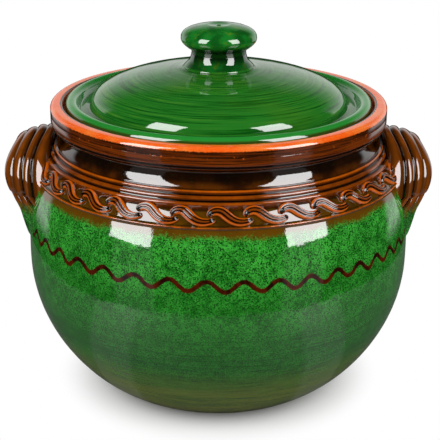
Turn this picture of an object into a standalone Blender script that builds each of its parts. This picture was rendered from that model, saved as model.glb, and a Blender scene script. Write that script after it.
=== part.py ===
"""Lidded ceramic pot, built at its real size: metres, +Z up, origin at the centre of its base.

The pot is a thrown, round-bellied shell with a grooved neck and a rolled rim. Inside the rim a
gallery ledge carries the lid. S-shaped scrolls of clay lie in a chain on the sloping band of the
shoulder, and two loops of ribbed strap are luted to the belly at +X and -X. The lid is a turned
shell of its own, with a rolled rim, a channel and a dome, and carries a turned knob.

Run it with: blender --background --python part.py
"""

import bmesh
import bpy
import math
from mathutils import Vector

# How finely round shapes are divided. Each scroll spans two of the body's facets.
SCROLL_COUNT = 34
TURN_STEPS = 2 * SCROLL_COUNT
KNOB_STEPS = 30

# The space left between pieces that touch
SEAT_GAP = 0.0003

# The pot's body, whose driving sizes are the belly's. What stands above the belly follows it.
BELLY_RADIUS = 0.1202
BELLY_HEIGHT = 0.0873
FOOT_DRAW_IN = 0.0566
FOOT_RADIUS = BELLY_RADIUS - FOOT_DRAW_IN
FOOT_EDGE = 0.0012
WALL = 0.0070
FLOOR = 0.0080
BELLY_POWER = 0.73
SHOULDER_POWER = 2.8

# The ridge under the scroll band, and the band
SHOULDER_RISE = 0.0552
SHOULDER_DRAW_IN = 0.0074
BAND_LOW_HEIGHT = BELLY_HEIGHT + SHOULDER_RISE
BAND_LOW_RADIUS = BELLY_RADIUS - SHOULDER_DRAW_IN
BAND_RISE = 0.0080
BAND_DRAW_IN = 0.0074
LOW_RIDGE = 0.0011

# The neck: from the top of the band to the rim. Each pair is a height and a radius, as shares
# of the neck's height and of how far the neck is drawn in above the band.
NECK_RISE = 0.0209
NECK_DRAW_IN = 0.0067
NECK_SHARES = (
    (0.06, 1.07),
    (0.135, 0.66),
    (0.213, 0.82),
    (0.29, 0.33),
    (0.386, 0.50),
    (0.478, 0.06),
    (0.57, 0.18),
    (0.76, 0.00),
    (0.90, 0.12),
)

# The rim, which overhangs the neck
RIM_HEIGHT = 0.0131
RIM_OVERHANG = 0.0053
POT_HEIGHT = BAND_LOW_HEIGHT + BAND_RISE + NECK_RISE + RIM_HEIGHT
RIM_RADIUS = BAND_LOW_RADIUS - BAND_DRAW_IN - NECK_DRAW_IN + RIM_OVERHANG
RIM_WALL = 0.0076
RIM_SHOULDER = 0.0030
RIM_UNDERCUT = 0.0014
RIM_LINE_DROP = 0.0091
RIM_LINE_DEPTH = 0.0005
RIM_EDGE = 0.0009

# The gallery inside the rim, on which the lid rests
GALLERY_DEPTH = 0.0070
GALLERY_LEDGE = 0.0056

# The lid
LID_PLAY = 0.0018
LID_RISE = 0.0022
LID_WALL = 0.0058
LID_ROLL_WIDTH = 0.0062
LID_LOCATING_PLAY = 0.0014
CHANNEL_DEPTH = 0.0058
CHANNEL_WIDTH = 0.0092
DOME_RADIUS = RIM_RADIUS - RIM_WALL - LID_PLAY - LID_ROLL_WIDTH - CHANNEL_WIDTH
DOME_HEIGHT = 0.0240
BOSS_HEIGHT = 0.0068
BOSS_SPREAD = 0.0036

# The knob
STEM_RADIUS = 0.0170
STEM_HEIGHT = 0.0020
KNOB_RADIUS = 0.0234
KNOB_UNDER = 0.0074
KNOB_CROWN = 0.0088
KNOB_POWER = 2.6
DIMPLE_RADIUS = 0.0048
DIMPLE_DEPTH = 0.0010

# The scrolls. Each row is a place on the scroll's middle line: along the band, as a share of
# the pitch, and up its slope, as a share of the slope. The third number is the scroll's width
# there, as a share of the full width. The first scroll starts a little left of the front.
SCROLL_WIDTH = 0.0047
SCROLL_START_SHARE = -0.26
SCROLL_MIDDLE_SHARE = 0.55
SCROLL_SHARES = (
    (0.005, 0.015, 0.62),
    (0.065, 0.170, 0.84),
    (0.155, 0.265, 0.98),
    (0.265, 0.290, 1.00),
    (0.375, 0.230, 1.00),
    (0.465, 0.085, 1.00),
    (0.550, -0.100, 1.00),
    (0.665, -0.250, 0.95),
    (0.790, -0.335, 0.85),
    (0.910, -0.350, 0.70),
    (1.025, -0.320, 0.54),
    (1.120, -0.250, 0.42),
    (1.195, -0.150, 0.30),
)

# The handles. Each is a strap bent into a loop that stands on the belly with its arch upward,
# and flares toward the pot. The lean is how far the strap's face turns from the loop's axis.
STRAP_WIDTH = 0.0342
STRAP_THICKNESS = 0.0072
STRAP_RIB = 0.0026
STRAP_POWER = 2.1
STRAP_STAND = 0.0198
STRAP_REACH = BAND_LOW_RADIUS + STRAP_STAND
STRAP_LEAN_TOP = math.radians(17)
STRAP_LEAN_SIDE = math.radians(32)
LOOP_RADIUS = 0.0298
LOOP_RISE = 0.0306
LOOP_DROP = 0.0112
LOOP_HEIGHT = BAND_LOW_HEIGHT - LOOP_DROP
LOOP_LEAN_IN = 0.0056
LOOP_DRAW_IN = 0.0030
DRAW_IN_TURN_SHARE = 0.5
TAIL_LENGTH = 0.0252
TAIL_STAND = 0.0165
ARCH_STEPS = 7
RIB_STEPS = 4
INNER_STEPS = 5
# The strap's four ribs: where each ends, as a share of its width, from its outer edge. At the
# top of the arch the strap is narrower, and at the sides it is wider.
RIB_SHARES = (0.0, 0.23, 0.44, 0.625, 1.0)
TOP_WIDTH_SHARE = 0.775
SIDE_WIDTH_SHARE = 1.14
# Along each tail: how far down it is, how far its edge stands off the belly, how wide the
# strap is and how thick it is, as shares of the tail's length, of its stand at the top and
# of the strap's width and thickness.
TAIL_SHARES = (
    (0.20, 0.76, 0.94, 0.98),
    (0.42, 0.50, 0.71, 0.92),
    (0.64, 0.33, 0.48, 0.84),
    (0.84, 0.19, 0.27, 0.74),
    (1.00, 0.06, 0.12, 0.62),
)

# How far below the band the handles' seat comes back to the belly
SEAT_SKIRT = 0.0080


def clear_scene():
    """Remove every object the file holds."""
    for obj in list(bpy.data.objects):
        bpy.data.objects.remove(obj, do_unlink=True)


def new_collection(name):
    collection = bpy.data.collections.new(name)
    bpy.context.scene.collection.children.link(collection)
    return collection


def make_material(name, colour, roughness, metallic=0.0):
    """A Principled material with one colour."""
    material = bpy.data.materials.new(name)
    material.use_nodes = True
    shader = material.node_tree.nodes["Principled BSDF"]
    shader.inputs["Base Color"].default_value = (*colour, 1.0)
    shader.inputs["Roughness"].default_value = roughness
    shader.inputs["Metallic"].default_value = metallic
    return material


def add_object(name, mesh, collection, material=None):
    obj = bpy.data.objects.new(name, mesh)
    collection.objects.link(obj)
    if material is not None:
        mesh.materials.append(material)
    return obj


def add_turned(name, outline, steps, collection, material=None):
    """Turn an outline of (radius, height) points, top to bottom on its outer side, about Z."""
    mesh = bpy.data.meshes.new(name)
    edges = [(i, i + 1) for i in range(len(outline) - 1)]
    if outline[0][0] > 0:
        edges.append((len(outline) - 1, 0))
    mesh.from_pydata([(radius, 0, height) for radius, height in outline], edges, [])
    obj = add_object(name, mesh, collection, material)
    screw = obj.modifiers.new("Turn", "SCREW")
    screw.axis = "Z"
    screw.angle = 2 * math.pi
    screw.steps = steps
    screw.render_steps = steps
    screw.use_smooth_shade = True
    screw.use_merge_vertices = True
    screw.merge_threshold = 0.00001
    return obj


def add_cutter(name, outline, steps, collection):
    cutter = add_turned(name, outline, steps, collection)
    cutter.hide_render = True
    cutter.display_type = "WIRE"
    return cutter


def cut_mesh(obj, cutter, name):
    """Cut the turned cutter from the object, and return the result as a plain mesh."""
    cut = obj.modifiers.new("Seat", "BOOLEAN")
    cut.operation = "DIFFERENCE"
    cut.solver = "EXACT"
    cut.object = cutter
    bpy.context.view_layer.update()
    graph = bpy.context.evaluated_depsgraph_get()
    mesh = bpy.data.meshes.new_from_object(obj.evaluated_get(graph))
    mesh.name = name
    bpy.data.objects.remove(obj, do_unlink=True)
    shaped = bmesh.new()
    shaped.from_mesh(mesh)
    bmesh.ops.remove_doubles(shaped, verts=shaped.verts, dist=SEAT_GAP / 30)
    shaped.to_mesh(mesh)
    shaped.free()
    mesh.shade_smooth()
    mesh.set_sharp_from_angle(angle=math.radians(50))
    return mesh


def arc(centre, radius, height, start, end, steps):
    """Points on an elliptical arc, angles in degrees from the outward radius."""
    points = []
    for i in range(steps + 1):
        angle = math.radians(start + (end - start) * i / steps)
        points.append((centre[0] + radius * math.cos(angle), centre[1] + height * math.sin(angle)))
    return points


def push_out(outline, distance):
    """Shift an outline outward, square to itself at every point."""
    shifted = []
    for i, (radius, height) in enumerate(outline):
        before = Vector(outline[max(i - 1, 0)])
        after = Vector(outline[min(i + 1, len(outline) - 1)])
        along = (after - before).normalized()
        shifted.append((max(radius - along.y * distance, 0.0), height + along.x * distance))
    return shifted


def belly_radius(height):
    """The outer radius of the belly and the shoulder, from the foot to the ridge of the band."""
    if height <= BELLY_HEIGHT:
        below = (BELLY_HEIGHT - height) / BELLY_HEIGHT
        swell = max(1 - below**2, 0.0) ** BELLY_POWER
        return FOOT_RADIUS + (BELLY_RADIUS - FOOT_RADIUS) * swell
    above = (height - BELLY_HEIGHT) / (BAND_LOW_HEIGHT - BELLY_HEIGHT)
    return BELLY_RADIUS - (BELLY_RADIUS - BAND_LOW_RADIUS) * above**SHOULDER_POWER


def rim_outline():
    """The rim's outside, from its inner edge over the top and down to the neck."""
    low = POT_HEIGHT - RIM_HEIGHT
    inner = RIM_RADIUS - RIM_WALL
    crown = RIM_RADIUS - RIM_SHOULDER
    points = arc((inner + RIM_EDGE, POT_HEIGHT - RIM_EDGE), RIM_EDGE, RIM_EDGE, 180, 90, 2)
    points += arc((crown, POT_HEIGHT - RIM_SHOULDER), RIM_SHOULDER, RIM_SHOULDER, 90, 0, 5)
    line = POT_HEIGHT - RIM_LINE_DROP
    points.append((RIM_RADIUS, line + RIM_LINE_DEPTH))
    points.append((RIM_RADIUS - RIM_LINE_DEPTH, line))
    points.append((RIM_RADIUS, line - RIM_LINE_DEPTH))
    points.append((RIM_RADIUS - RIM_UNDERCUT / 4, low + RIM_UNDERCUT))
    points.append((RIM_RADIUS - RIM_UNDERCUT, low))
    return points


def neck_outline():
    """The grooved neck, from under the rim down to the top of the band."""
    low = BAND_LOW_HEIGHT + BAND_RISE
    tall = POT_HEIGHT - RIM_HEIGHT - low
    root = BAND_LOW_RADIUS - BAND_DRAW_IN - NECK_DRAW_IN
    return [
        (root + NECK_DRAW_IN * out, low + tall * up) for up, out in reversed(NECK_SHARES)
    ]


def band_outline(relief):
    """The sloping band that carries the scrolls, raised by the relief, and the ridge under it."""
    top = Vector((BAND_LOW_RADIUS - BAND_DRAW_IN, BAND_LOW_HEIGHT + BAND_RISE))
    foot = Vector((BAND_LOW_RADIUS, BAND_LOW_HEIGHT))
    slope = (foot - top).normalized()
    out = Vector((-slope.y, slope.x)) * relief
    if relief:
        skirt = BAND_LOW_HEIGHT - SEAT_SKIRT
        return [tuple(top), tuple(top + out), tuple(foot + out), (belly_radius(skirt), skirt)]
    points = [tuple(top), tuple(foot)]
    ridge = BAND_LOW_HEIGHT - LOW_RIDGE
    points.append((belly_radius(ridge) + LOW_RIDGE * 0.8, ridge + LOW_RIDGE / 3))
    points.append((belly_radius(ridge - LOW_RIDGE) + LOW_RIDGE * 0.1, ridge - LOW_RIDGE))
    return points


def belly_outline(relief):
    """The shoulder, belly and lower body, down to the edge of the foot."""
    shoulder_shares = (0.94, 0.82, 0.66, 0.46, 0.22)
    rise = BAND_LOW_HEIGHT - BELLY_HEIGHT
    points = []
    for share in shoulder_shares:
        height = BELLY_HEIGHT + rise * share
        if relief and height > BAND_LOW_HEIGHT - SEAT_SKIRT:
            continue
        points.append((belly_radius(height), height))
    for turn in (0, 14, 26, 37, 47, 56, 64, 70, 75, 79, 83):
        height = BELLY_HEIGHT * (1 - math.sin(math.radians(turn)))
        points.append((belly_radius(height), height))
    points.append((FOOT_RADIUS + FOOT_EDGE, FOOT_EDGE / 4))
    points.append((FOOT_RADIUS, 0.0))
    return points


def outer_outline(relief=0.0):
    return rim_outline() + neck_outline() + band_outline(relief) + belly_outline(relief)


def gallery_radius():
    """The bore of the neck, inside the gallery ledge."""
    return RIM_RADIUS - RIM_WALL - GALLERY_LEDGE


def inner_outline():
    """The pot's inside, from the middle of its floor up to the gallery."""
    ledge = POT_HEIGHT - GALLERY_DEPTH
    bore = gallery_radius()
    shoulder = BAND_LOW_HEIGHT + BAND_RISE
    corner = FLOOR + WALL
    points = [(0.0, FLOOR), (belly_radius(FLOOR) - 2 * WALL, FLOOR)]
    for share in (0.0, 0.10, 0.24, 0.42, 0.62, 0.82):
        height = corner + (BELLY_HEIGHT - corner) * share
        lean = 1 + 0.6 * (1 - share) ** 2
        points.append((belly_radius(height) - WALL * lean, height))
    for share in (0.0, 0.30, 0.58, 0.80, 0.95):
        height = BELLY_HEIGHT + (BAND_LOW_HEIGHT - BELLY_HEIGHT) * share
        points.append((belly_radius(height) - WALL * (1 + 0.25 * share), height))
    points.append((bore + (BAND_LOW_RADIUS - WALL - bore) * 0.42, shoulder))
    points.append((bore, shoulder + (ledge - shoulder) * 0.30))
    points.append((bore, ledge - RIM_EDGE))
    points.append((bore + RIM_EDGE, ledge))
    points.append((RIM_RADIUS - RIM_WALL, ledge))
    return points


def add_body(collection, material):
    outline = inner_outline() + outer_outline() + [(0.0, 0.0)]
    return add_turned("pot_body", outline, TURN_STEPS, collection, material)


def seat_outline(relief):
    """The outline of a cutter that is the body's outside, one seat gap larger."""
    outside = push_out(outer_outline(relief), SEAT_GAP)
    top = outside[0][1]
    bottom = outside[-1][1]
    return [(0.0, top)] + outside + [(0.0, bottom)]


def place_on_band(along, up):
    """A point on the band: along it as a share of the pitch, up it as a share of its slope."""
    angle = along * 2 * math.pi / SCROLL_COUNT
    radius = BAND_LOW_RADIUS - BAND_DRAW_IN * up
    height = BAND_LOW_HEIGHT + BAND_RISE * up
    return Vector((radius * math.sin(angle), -radius * math.cos(angle), height))


def add_scrolls(collection, cutters, material):
    """The chain of scrolls: one tube along an S, cut flat where it lies, repeated round the pot."""
    curve = bpy.data.curves.new("scroll_path", "CURVE")
    curve.dimensions = "3D"
    curve.bevel_depth = SCROLL_WIDTH / 2
    curve.bevel_resolution = 2
    curve.use_fill_caps = True
    spline = curve.splines.new("POLY")
    spline.points.add(len(SCROLL_SHARES) - 1)
    for point, (along, up, width) in zip(spline.points, SCROLL_SHARES):
        place = place_on_band(SCROLL_START_SHARE + along, SCROLL_MIDDLE_SHARE + up)
        point.co = (*place, 1.0)
        point.radius = width
    path = bpy.data.objects.new("scroll_path", curve)
    collection.objects.link(path)
    bpy.context.view_layer.update()
    graph = bpy.context.evaluated_depsgraph_get()
    mesh = bpy.data.meshes.new_from_object(path.evaluated_get(graph))
    bpy.data.objects.remove(path, do_unlink=True)
    welded = bmesh.new()
    welded.from_mesh(mesh)
    bmesh.ops.remove_doubles(welded, verts=welded.verts, dist=SEAT_GAP / 30)
    bmesh.ops.recalc_face_normals(welded, faces=welded.faces)
    welded.to_mesh(mesh)
    welded.free()
    blank = add_object("scroll_blank", mesh, collection)
    cutter = add_cutter("scroll_seat", seat_outline(0.0), TURN_STEPS, cutters)
    scroll = cut_mesh(blank, cutter, "scroll")
    scroll.materials.append(material)
    for k in range(SCROLL_COUNT):
        obj = bpy.data.objects.new(f"scroll_{k + 1:02d}", scroll)
        obj.rotation_euler.z = 2 * math.pi * k / SCROLL_COUNT
        collection.objects.link(obj)


def strap_section(width, thickness, rib):
    """The strap's section: (across, out) points, ribbed on the outer face and plain inside.

    Across runs inward from the strap's outer edge. The last rib takes up a change of width on
    the arch, and all four narrow together toward the end of a tail.
    """
    shrink = min(width / (STRAP_WIDTH * TOP_WIDTH_SHARE), 1.0)
    edges = [share * STRAP_WIDTH * shrink for share in RIB_SHARES[:-1]] + [width]
    places = [(0.0, 0.0)]
    for near, far in zip(edges, edges[1:]):
        for i in range(1, RIB_STEPS + 1):
            share = i / RIB_STEPS
            places.append((near + (far - near) * share, math.sin(math.pi * share)))
    points = []
    for across, ridge in places:
        crown = max(1 - abs(2 * across / width - 1) ** STRAP_POWER, 0.0) ** 0.5
        points.append((across, (thickness / 2 + rib * (ridge - 0.5)) * crown))
    for i in range(1, INNER_STEPS):
        turn = math.cos(math.pi * i / INNER_STEPS)
        crown = (1 - abs(turn) ** STRAP_POWER) ** 0.5
        points.append((width * (1 + turn) / 2, -thickness / 2 * crown))
    return points


def strap_stations():
    """Half of the loop, from the top of the arch to the end of a tail.

    Each station is the outer edge's reach, the place of the strap's middle (side, height), the
    direction in which the strap faces (side, height), its lean, how far its middle is from its
    outer edge, its width and its thickness.
    """
    stations = []
    for i in range(ARCH_STEPS + 1):
        turn = i / ARCH_STEPS
        angle = turn * math.pi / 2
        late = max(turn - DRAW_IN_TURN_SHARE, 0.0) / (1 - DRAW_IN_TURN_SHARE)
        reach = STRAP_REACH - LOOP_LEAN_IN * math.cos(angle) ** 4 - LOOP_DRAW_IN * late**2
        lean = STRAP_LEAN_TOP + (STRAP_LEAN_SIDE - STRAP_LEAN_TOP) * turn**2
        wide = 1 + (SIDE_WIDTH_SHARE - 1) * late**2
        middle = STRAP_WIDTH * wide / 2
        width = STRAP_WIDTH * (wide - (1 - TOP_WIDTH_SHARE) * math.cos(angle) ** 2)
        facing = (math.sin(angle), math.cos(angle))
        place = (LOOP_RADIUS * facing[0], LOOP_HEIGHT + LOOP_RISE * facing[1])
        stations.append((reach, *place, facing, lean, middle, width, STRAP_THICKNESS))
    for down, stand, wide, thick in TAIL_SHARES:
        height = LOOP_HEIGHT - TAIL_LENGTH * down
        reach = math.sqrt(belly_radius(height) ** 2 - LOOP_RADIUS**2) + TAIL_STAND * stand
        lean = STRAP_LEAN_SIDE * (1 - down / 2)
        width = STRAP_WIDTH * wide
        size = (width / 2, width, STRAP_THICKNESS * thick)
        stations.append((reach, LOOP_RADIUS, height, (1.0, 0.0), lean, *size))
    return stations


def strap_ring(station, mirror):
    """The corner points of one section, for the handle at +X; mirror puts it on the other side."""
    reach, side, height, facing, lean, middle, width, thickness = station
    ring = []
    rib = STRAP_RIB * min(width / STRAP_WIDTH, 1.0)
    for across, out in strap_section(width, thickness, rib):
        along = out * math.sin(lean) - across * math.cos(lean)
        outward = out * math.cos(lean) + (across - middle) * math.sin(lean)
        place_y = mirror * (side + outward * facing[0])
        ring.append(Vector((reach + along, place_y, height + outward * facing[1])))
    return ring


def add_handles(collection, cutters, material):
    """Both handles: a loft through the strap's sections, cut to sit on the body."""
    half = strap_stations()
    rings = [strap_ring(station, -1) for station in reversed(half[1:])]
    rings += [strap_ring(station, 1) for station in half]
    loft = bmesh.new()
    loops = [[loft.verts.new(corner) for corner in ring] for ring in rings]
    count = len(loops[0])
    for near, far in zip(loops, loops[1:]):
        for i in range(count):
            j = (i + 1) % count
            loft.faces.new((near[i], near[j], far[j], far[i]))
    loft.faces.new(list(reversed(loops[0])))
    loft.faces.new(loops[-1])
    bmesh.ops.recalc_face_normals(loft, faces=loft.faces)
    mesh = bpy.data.meshes.new("handle")
    loft.to_mesh(mesh)
    loft.free()
    blank = add_object("handle_blank", mesh, collection)
    cutter = add_cutter("handle_seat", seat_outline(SCROLL_WIDTH / 2), TURN_STEPS, cutters)
    handle = cut_mesh(blank, cutter, "handle")
    handle.materials.append(material)
    for name, turn in (("handle_right", 0.0), ("handle_left", math.pi)):
        obj = bpy.data.objects.new(name, handle)
        obj.rotation_euler.z = turn
        collection.objects.link(obj)


def lid_roll_inner():
    """The inner radius of the lid's rolled rim."""
    return RIM_RADIUS - RIM_WALL - LID_PLAY - LID_ROLL_WIDTH


def dome_foot_height():
    return POT_HEIGHT + LID_RISE - CHANNEL_DEPTH + RIM_EDGE


def boss_top():
    """The height of the flat on which the knob sits."""
    return dome_foot_height() + DOME_HEIGHT + BOSS_HEIGHT


def lid_upper_outline():
    """The lid's upper side, from the boss under the knob out to the rolled rim."""
    foot = dome_foot_height()
    top = boss_top()
    points = [(STEM_RADIUS, top)]
    spread = STEM_RADIUS + BOSS_SPREAD
    meet = foot + DOME_HEIGHT * math.sqrt(1 - (spread / DOME_RADIUS) ** 2)
    for share in (0.25, 0.55, 1.0):
        drop = 1 - (1 - share) ** 2.2
        points.append((STEM_RADIUS + BOSS_SPREAD * share, top + (meet - top) * drop))
    start = math.degrees(math.acos(spread / DOME_RADIUS))
    points += arc((0.0, foot), DOME_RADIUS, DOME_HEIGHT, start, 0, 7)[1:]
    inner = lid_roll_inner()
    channel = POT_HEIGHT + LID_RISE - CHANNEL_DEPTH
    points.append((DOME_RADIUS + (inner - DOME_RADIUS) * 0.25, channel))
    points.append((DOME_RADIUS + (inner - DOME_RADIUS) * 0.75, channel))
    crest = POT_HEIGHT + LID_RISE
    half = LID_ROLL_WIDTH / 2
    points += arc((inner + half, crest - half), half, half, 180, 0, 6)
    return points


def add_lid(collection, material, parent):
    outer = RIM_RADIUS - RIM_WALL - LID_PLAY
    rest = POT_HEIGHT - GALLERY_DEPTH + SEAT_GAP
    locate = gallery_radius() - LID_LOCATING_PLAY
    foot = dome_foot_height()
    under = POT_HEIGHT + LID_RISE - CHANNEL_DEPTH - LID_WALL
    points = [(0.0, boss_top())] + lid_upper_outline()
    points.append((outer, rest + RIM_EDGE))
    points.append((outer - RIM_EDGE, rest))
    points.append((locate, rest))
    points.append((locate - RIM_EDGE, under))
    hollow = DOME_RADIUS - LID_WALL
    points.append((hollow, under))
    points += arc((0.0, foot - LID_WALL), hollow, DOME_HEIGHT, 12, 90, 7)
    lid = add_turned("lid", points, TURN_STEPS, collection, material)
    lid.parent = parent
    return lid


def add_knob(collection, material, parent):
    """The knob: a flattened ball on a short stem, with a dimple in its crown."""
    low = boss_top() + SEAT_GAP
    wide = low + STEM_HEIGHT + KNOB_UNDER
    top = wide + KNOB_CROWN
    points = [(0.0, top - DIMPLE_DEPTH), (DIMPLE_RADIUS / 2, top - DIMPLE_DEPTH)]
    points.append((DIMPLE_RADIUS, top))
    for turn in (62, 45, 30, 15, 0):
        angle = math.radians(turn)
        across = math.cos(angle) ** (2 / KNOB_POWER)
        above = math.sin(angle) ** (2 / KNOB_POWER)
        points.append((KNOB_RADIUS * across, wide + KNOB_CROWN * above))
    for share in (0.25, 0.5, 0.75, 1.0):
        swell = math.cos(share * math.pi / 2) ** 1.1
        points.append((STEM_RADIUS + (KNOB_RADIUS - STEM_RADIUS) * swell, wide - KNOB_UNDER * share))
    points.append((STEM_RADIUS, low))
    points.append((0.0, low))
    knob = add_turned("lid_knob", points, KNOB_STEPS, collection, material)
    knob.parent = parent
    return knob


def main():
    clear_scene()
    pot = new_collection("lidded_pot")
    cutters = new_collection("cutters")
    green = make_material("sponged_green_glaze", (0.018, 0.205, 0.032), 0.12)
    leaf = make_material("lid_green_glaze", (0.013, 0.156, 0.013), 0.10)
    brown = make_material("brown_glaze", (0.082, 0.030, 0.002), 0.10)
    amber = make_material("amber_glaze", (0.190, 0.058, 0.003), 0.10)
    add_body(pot, green)
    add_scrolls(pot, cutters, amber)
    add_handles(pot, cutters, brown)
    lift = bpy.data.objects.new("lid_axis", None)
    lift.empty_display_size = KNOB_RADIUS
    pot.objects.link(lift)
    add_lid(pot, leaf, lift)
    add_knob(pot, leaf, lift)


main()
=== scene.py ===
"""The looks of the lidded ceramic pot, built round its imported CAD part, in metres with +Z up.

The pot, its scrolls, handles, lid and knob are made again with finer shapes than the CAD part's,
each in the place of its own node, and are glazed with procedural materials. The studio is a
round white table, two tall softboxes and a pale backdrop.
"""

import logging
import math
from dataclasses import dataclass, field
from enum import Enum

import bmesh
import bpy
import numpy as np
from mathutils import Matrix, Vector

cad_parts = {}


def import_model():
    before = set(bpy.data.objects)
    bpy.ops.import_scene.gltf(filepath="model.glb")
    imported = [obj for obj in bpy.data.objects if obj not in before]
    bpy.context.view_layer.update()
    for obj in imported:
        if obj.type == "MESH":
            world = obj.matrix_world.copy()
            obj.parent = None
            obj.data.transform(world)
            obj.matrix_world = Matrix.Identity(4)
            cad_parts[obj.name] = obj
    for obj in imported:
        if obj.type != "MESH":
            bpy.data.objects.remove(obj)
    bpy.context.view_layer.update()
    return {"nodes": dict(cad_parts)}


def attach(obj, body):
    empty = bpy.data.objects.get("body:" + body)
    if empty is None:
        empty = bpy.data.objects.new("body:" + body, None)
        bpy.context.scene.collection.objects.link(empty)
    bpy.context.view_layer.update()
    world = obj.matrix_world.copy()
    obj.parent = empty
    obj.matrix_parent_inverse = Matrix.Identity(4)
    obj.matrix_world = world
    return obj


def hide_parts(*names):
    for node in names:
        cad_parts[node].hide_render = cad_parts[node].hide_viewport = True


log = logging.getLogger("lidded_pot")

Colour = tuple[float, float, float, float]
Pair = tuple[float, float]
Socket = bpy.types.NodeSocket

# How a screen's numbers follow from light
DISPLAY_MOST = 255
LINEAR_TOE = 0.04045
TOE_SLOPE = 12.92
CURVE_OFFSET = 0.055
CURVE_POWER = 2.4

# A radius that counts as the axis, and a distance that counts as none
POLE = 1e-5
TINY = 1e-6

# How finely a table of shares is smoothed
SHARE_SPACING = 0.01

# The painted wave's edge: how far it frays, and how far it fades inwards and outwards
WAVE_FRAY = 0.0005
WAVE_INNER_BLUR = 0.00035
WAVE_OUTER_BLUR = 0.00025

# The wave's phase at the front and how it drifts round the pot, in waves, and its slope's part
WAVE_START = 0.468
WAVE_DRIFT_SINE = -0.568
WAVE_DRIFT_COSINE = -0.165
WAVE_SLOPE = 0.85

# How much a throwing ring changes on its way round, and how fast the wall's wobble changes
RING_DRIFT = 0.8
WOBBLE_RATE = 9.0


class Body(Enum):
    """The CAD part's two moving bodies."""

    POT = "pot"
    LID = "lid"


class Slot(Enum):
    """The record's material slots."""

    BODY = "body_glaze"
    SCROLL = "scroll_glaze"
    HANDLE = "handle_glaze"
    LID = "lid_glaze"


class Mark(Enum):
    """What each point of a glazed piece stores for its material."""

    POOL = "pool"
    RUN = "run"
    INSIDE = "inside"


class Hue(Enum):
    """The colours of the glazes and the clay, as a screen shows them, from 0 to 255. A few of them are
    painted shade.
    """

    BARE_CLAY = (206, 96, 52)
    SPONGE_DARK = (26, 112, 26)
    SPONGE_LIGHT = (68, 182, 62)
    SPONGE_PORE = (10, 66, 10)
    BELLY_DEEP = (20, 92, 22)
    BELLY_CALM = (32, 98, 28)
    BELLY_SHADE = (14, 72, 24)
    BELLY_RING = (12, 74, 16)
    OLIVE_DARK = (96, 120, 34)
    OLIVE_LIGHT = (136, 142, 50)
    OLIVE_STREAK = (54, 82, 20)
    # Painted shade: darker at the very bottom of the foot, where little light reaches
    FOOT_SHADE = (38, 48, 4)
    SLIP_THICK = (38, 8, 2)
    SLIP_THIN = (84, 26, 4)
    SHOULDER_RIDGE = (216, 98, 12)
    SHOULDER_FACE = (92, 58, 2)
    SHOULDER_GROOVE = (22, 10, 1)
    SHOULDER_MOTTLE = (48, 28, 1)
    SHOULDER_LOW = (112, 72, 6)
    NECK_RIDGE = (214, 100, 6)
    NECK_FACE = (92, 40, 2)
    NECK_GROOVE = (3, 1, 0)
    COVE_DARK = (40, 15, 1)
    COVE_LIGHT = (84, 40, 2)
    # Thick glaze darkened further by painted shadow at the top of the cove, under the rim
    COVE_POOL_AND_SHADOW = (10, 3, 0)
    FACE_DARK = (44, 14, 1)
    FACE_LIGHT = (104, 42, 4)
    FACE_LOW_DARK = (66, 24, 2)
    FACE_LOW_LIGHT = (122, 52, 6)
    FACE_FOOT = (20, 5, 0)
    FACE_AMBER = (176, 72, 6)
    FACE_DOTS = (206, 92, 22)
    RIM_DARK = (255, 98, 18)
    RIM_LIGHT = (255, 126, 46)
    RIM_PALE_GRAIN = (255, 160, 100)
    RIM_RED_GRAIN = (214, 66, 12)
    RIM_INNER_LINE = (40, 36, 6)
    HONEY_DARK = (122, 66, 24)
    HONEY_LIGHT = (158, 92, 36)
    SCROLL_RIDGE = (228, 106, 12)
    SCROLL_FACE = (132, 60, 5)
    SCROLL_GROOVE = (8, 3, 0)
    HANDLE_RIDGE = (178, 88, 12)
    HANDLE_FACE = (94, 46, 3)
    HANDLE_GROOVE = (16, 6, 1)
    TAIL_DARK = (20, 90, 22)
    TAIL_LIGHT = (60, 150, 54)
    TAIL_PORE = (8, 52, 10)
    LEAF = (36, 116, 32)
    LEAF_RING = (10, 82, 14)
    LEAF_LIGHT = (84, 140, 40)
    LEAF_OLIVE = (66, 116, 20)
    KNOB = (24, 122, 38)
    KNOB_SPOT = (92, 132, 20)
    KNOB_CLOUD = (8, 76, 18)
    # Painted shade: nearly black on the stem right under the ball
    KNOB_WAIST_SHADE = (1, 20, 3)
    ROLL = (38, 138, 48)
    ROLL_LIP = (54, 50, 3)
    LEAF_POOL = (2, 36, 8)

    def linear(self) -> Colour:
        """Works out the colour as a shader takes it.

        Returns:
            The linear colour, with its alpha.
        """
        parts = []
        for part in self.value:
            share = part / DISPLAY_MOST
            curved = ((share + CURVE_OFFSET) / (1 + CURVE_OFFSET)) ** CURVE_POWER
            parts.append(share / TOE_SLOPE if share <= LINEAR_TOE else curved)
        return (*parts, 1.0)


def smooth_line(points: list[tuple], spacing: float) -> np.ndarray:
    """A smooth line through the points.

    Args:
        points: The places that the line passes through, in order.
        spacing: About how far apart the line's own points are.

    Returns:
        The line's points, one to a row, with the given ones among them.
    """
    given = np.array(points, float)
    ends = np.vstack([2 * given[0] - given[1], given, 2 * given[-1] - given[-2]])
    rows = [given[:1]]
    for before, near, far, after in zip(ends, ends[1:], ends[2:], ends[3:]):
        chord = np.linalg.norm(far - near)
        count = max(int(math.ceil(chord / spacing)), 1)
        leave = (far - before) * chord / max(chord + np.linalg.norm(near - before), TINY)
        reach = (after - near) * chord / max(chord + np.linalg.norm(after - far), TINY)
        share = np.arange(1, count + 1)[:, None] / count
        rows.append(
            near * (2 * share**3 - 3 * share**2 + 1)
            + leave * (share**3 - 2 * share**2 + share)
            + far * (3 * share**2 - 2 * share**3)
            + reach * (share**3 - share**2)
        )
    return np.vstack(rows)


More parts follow.
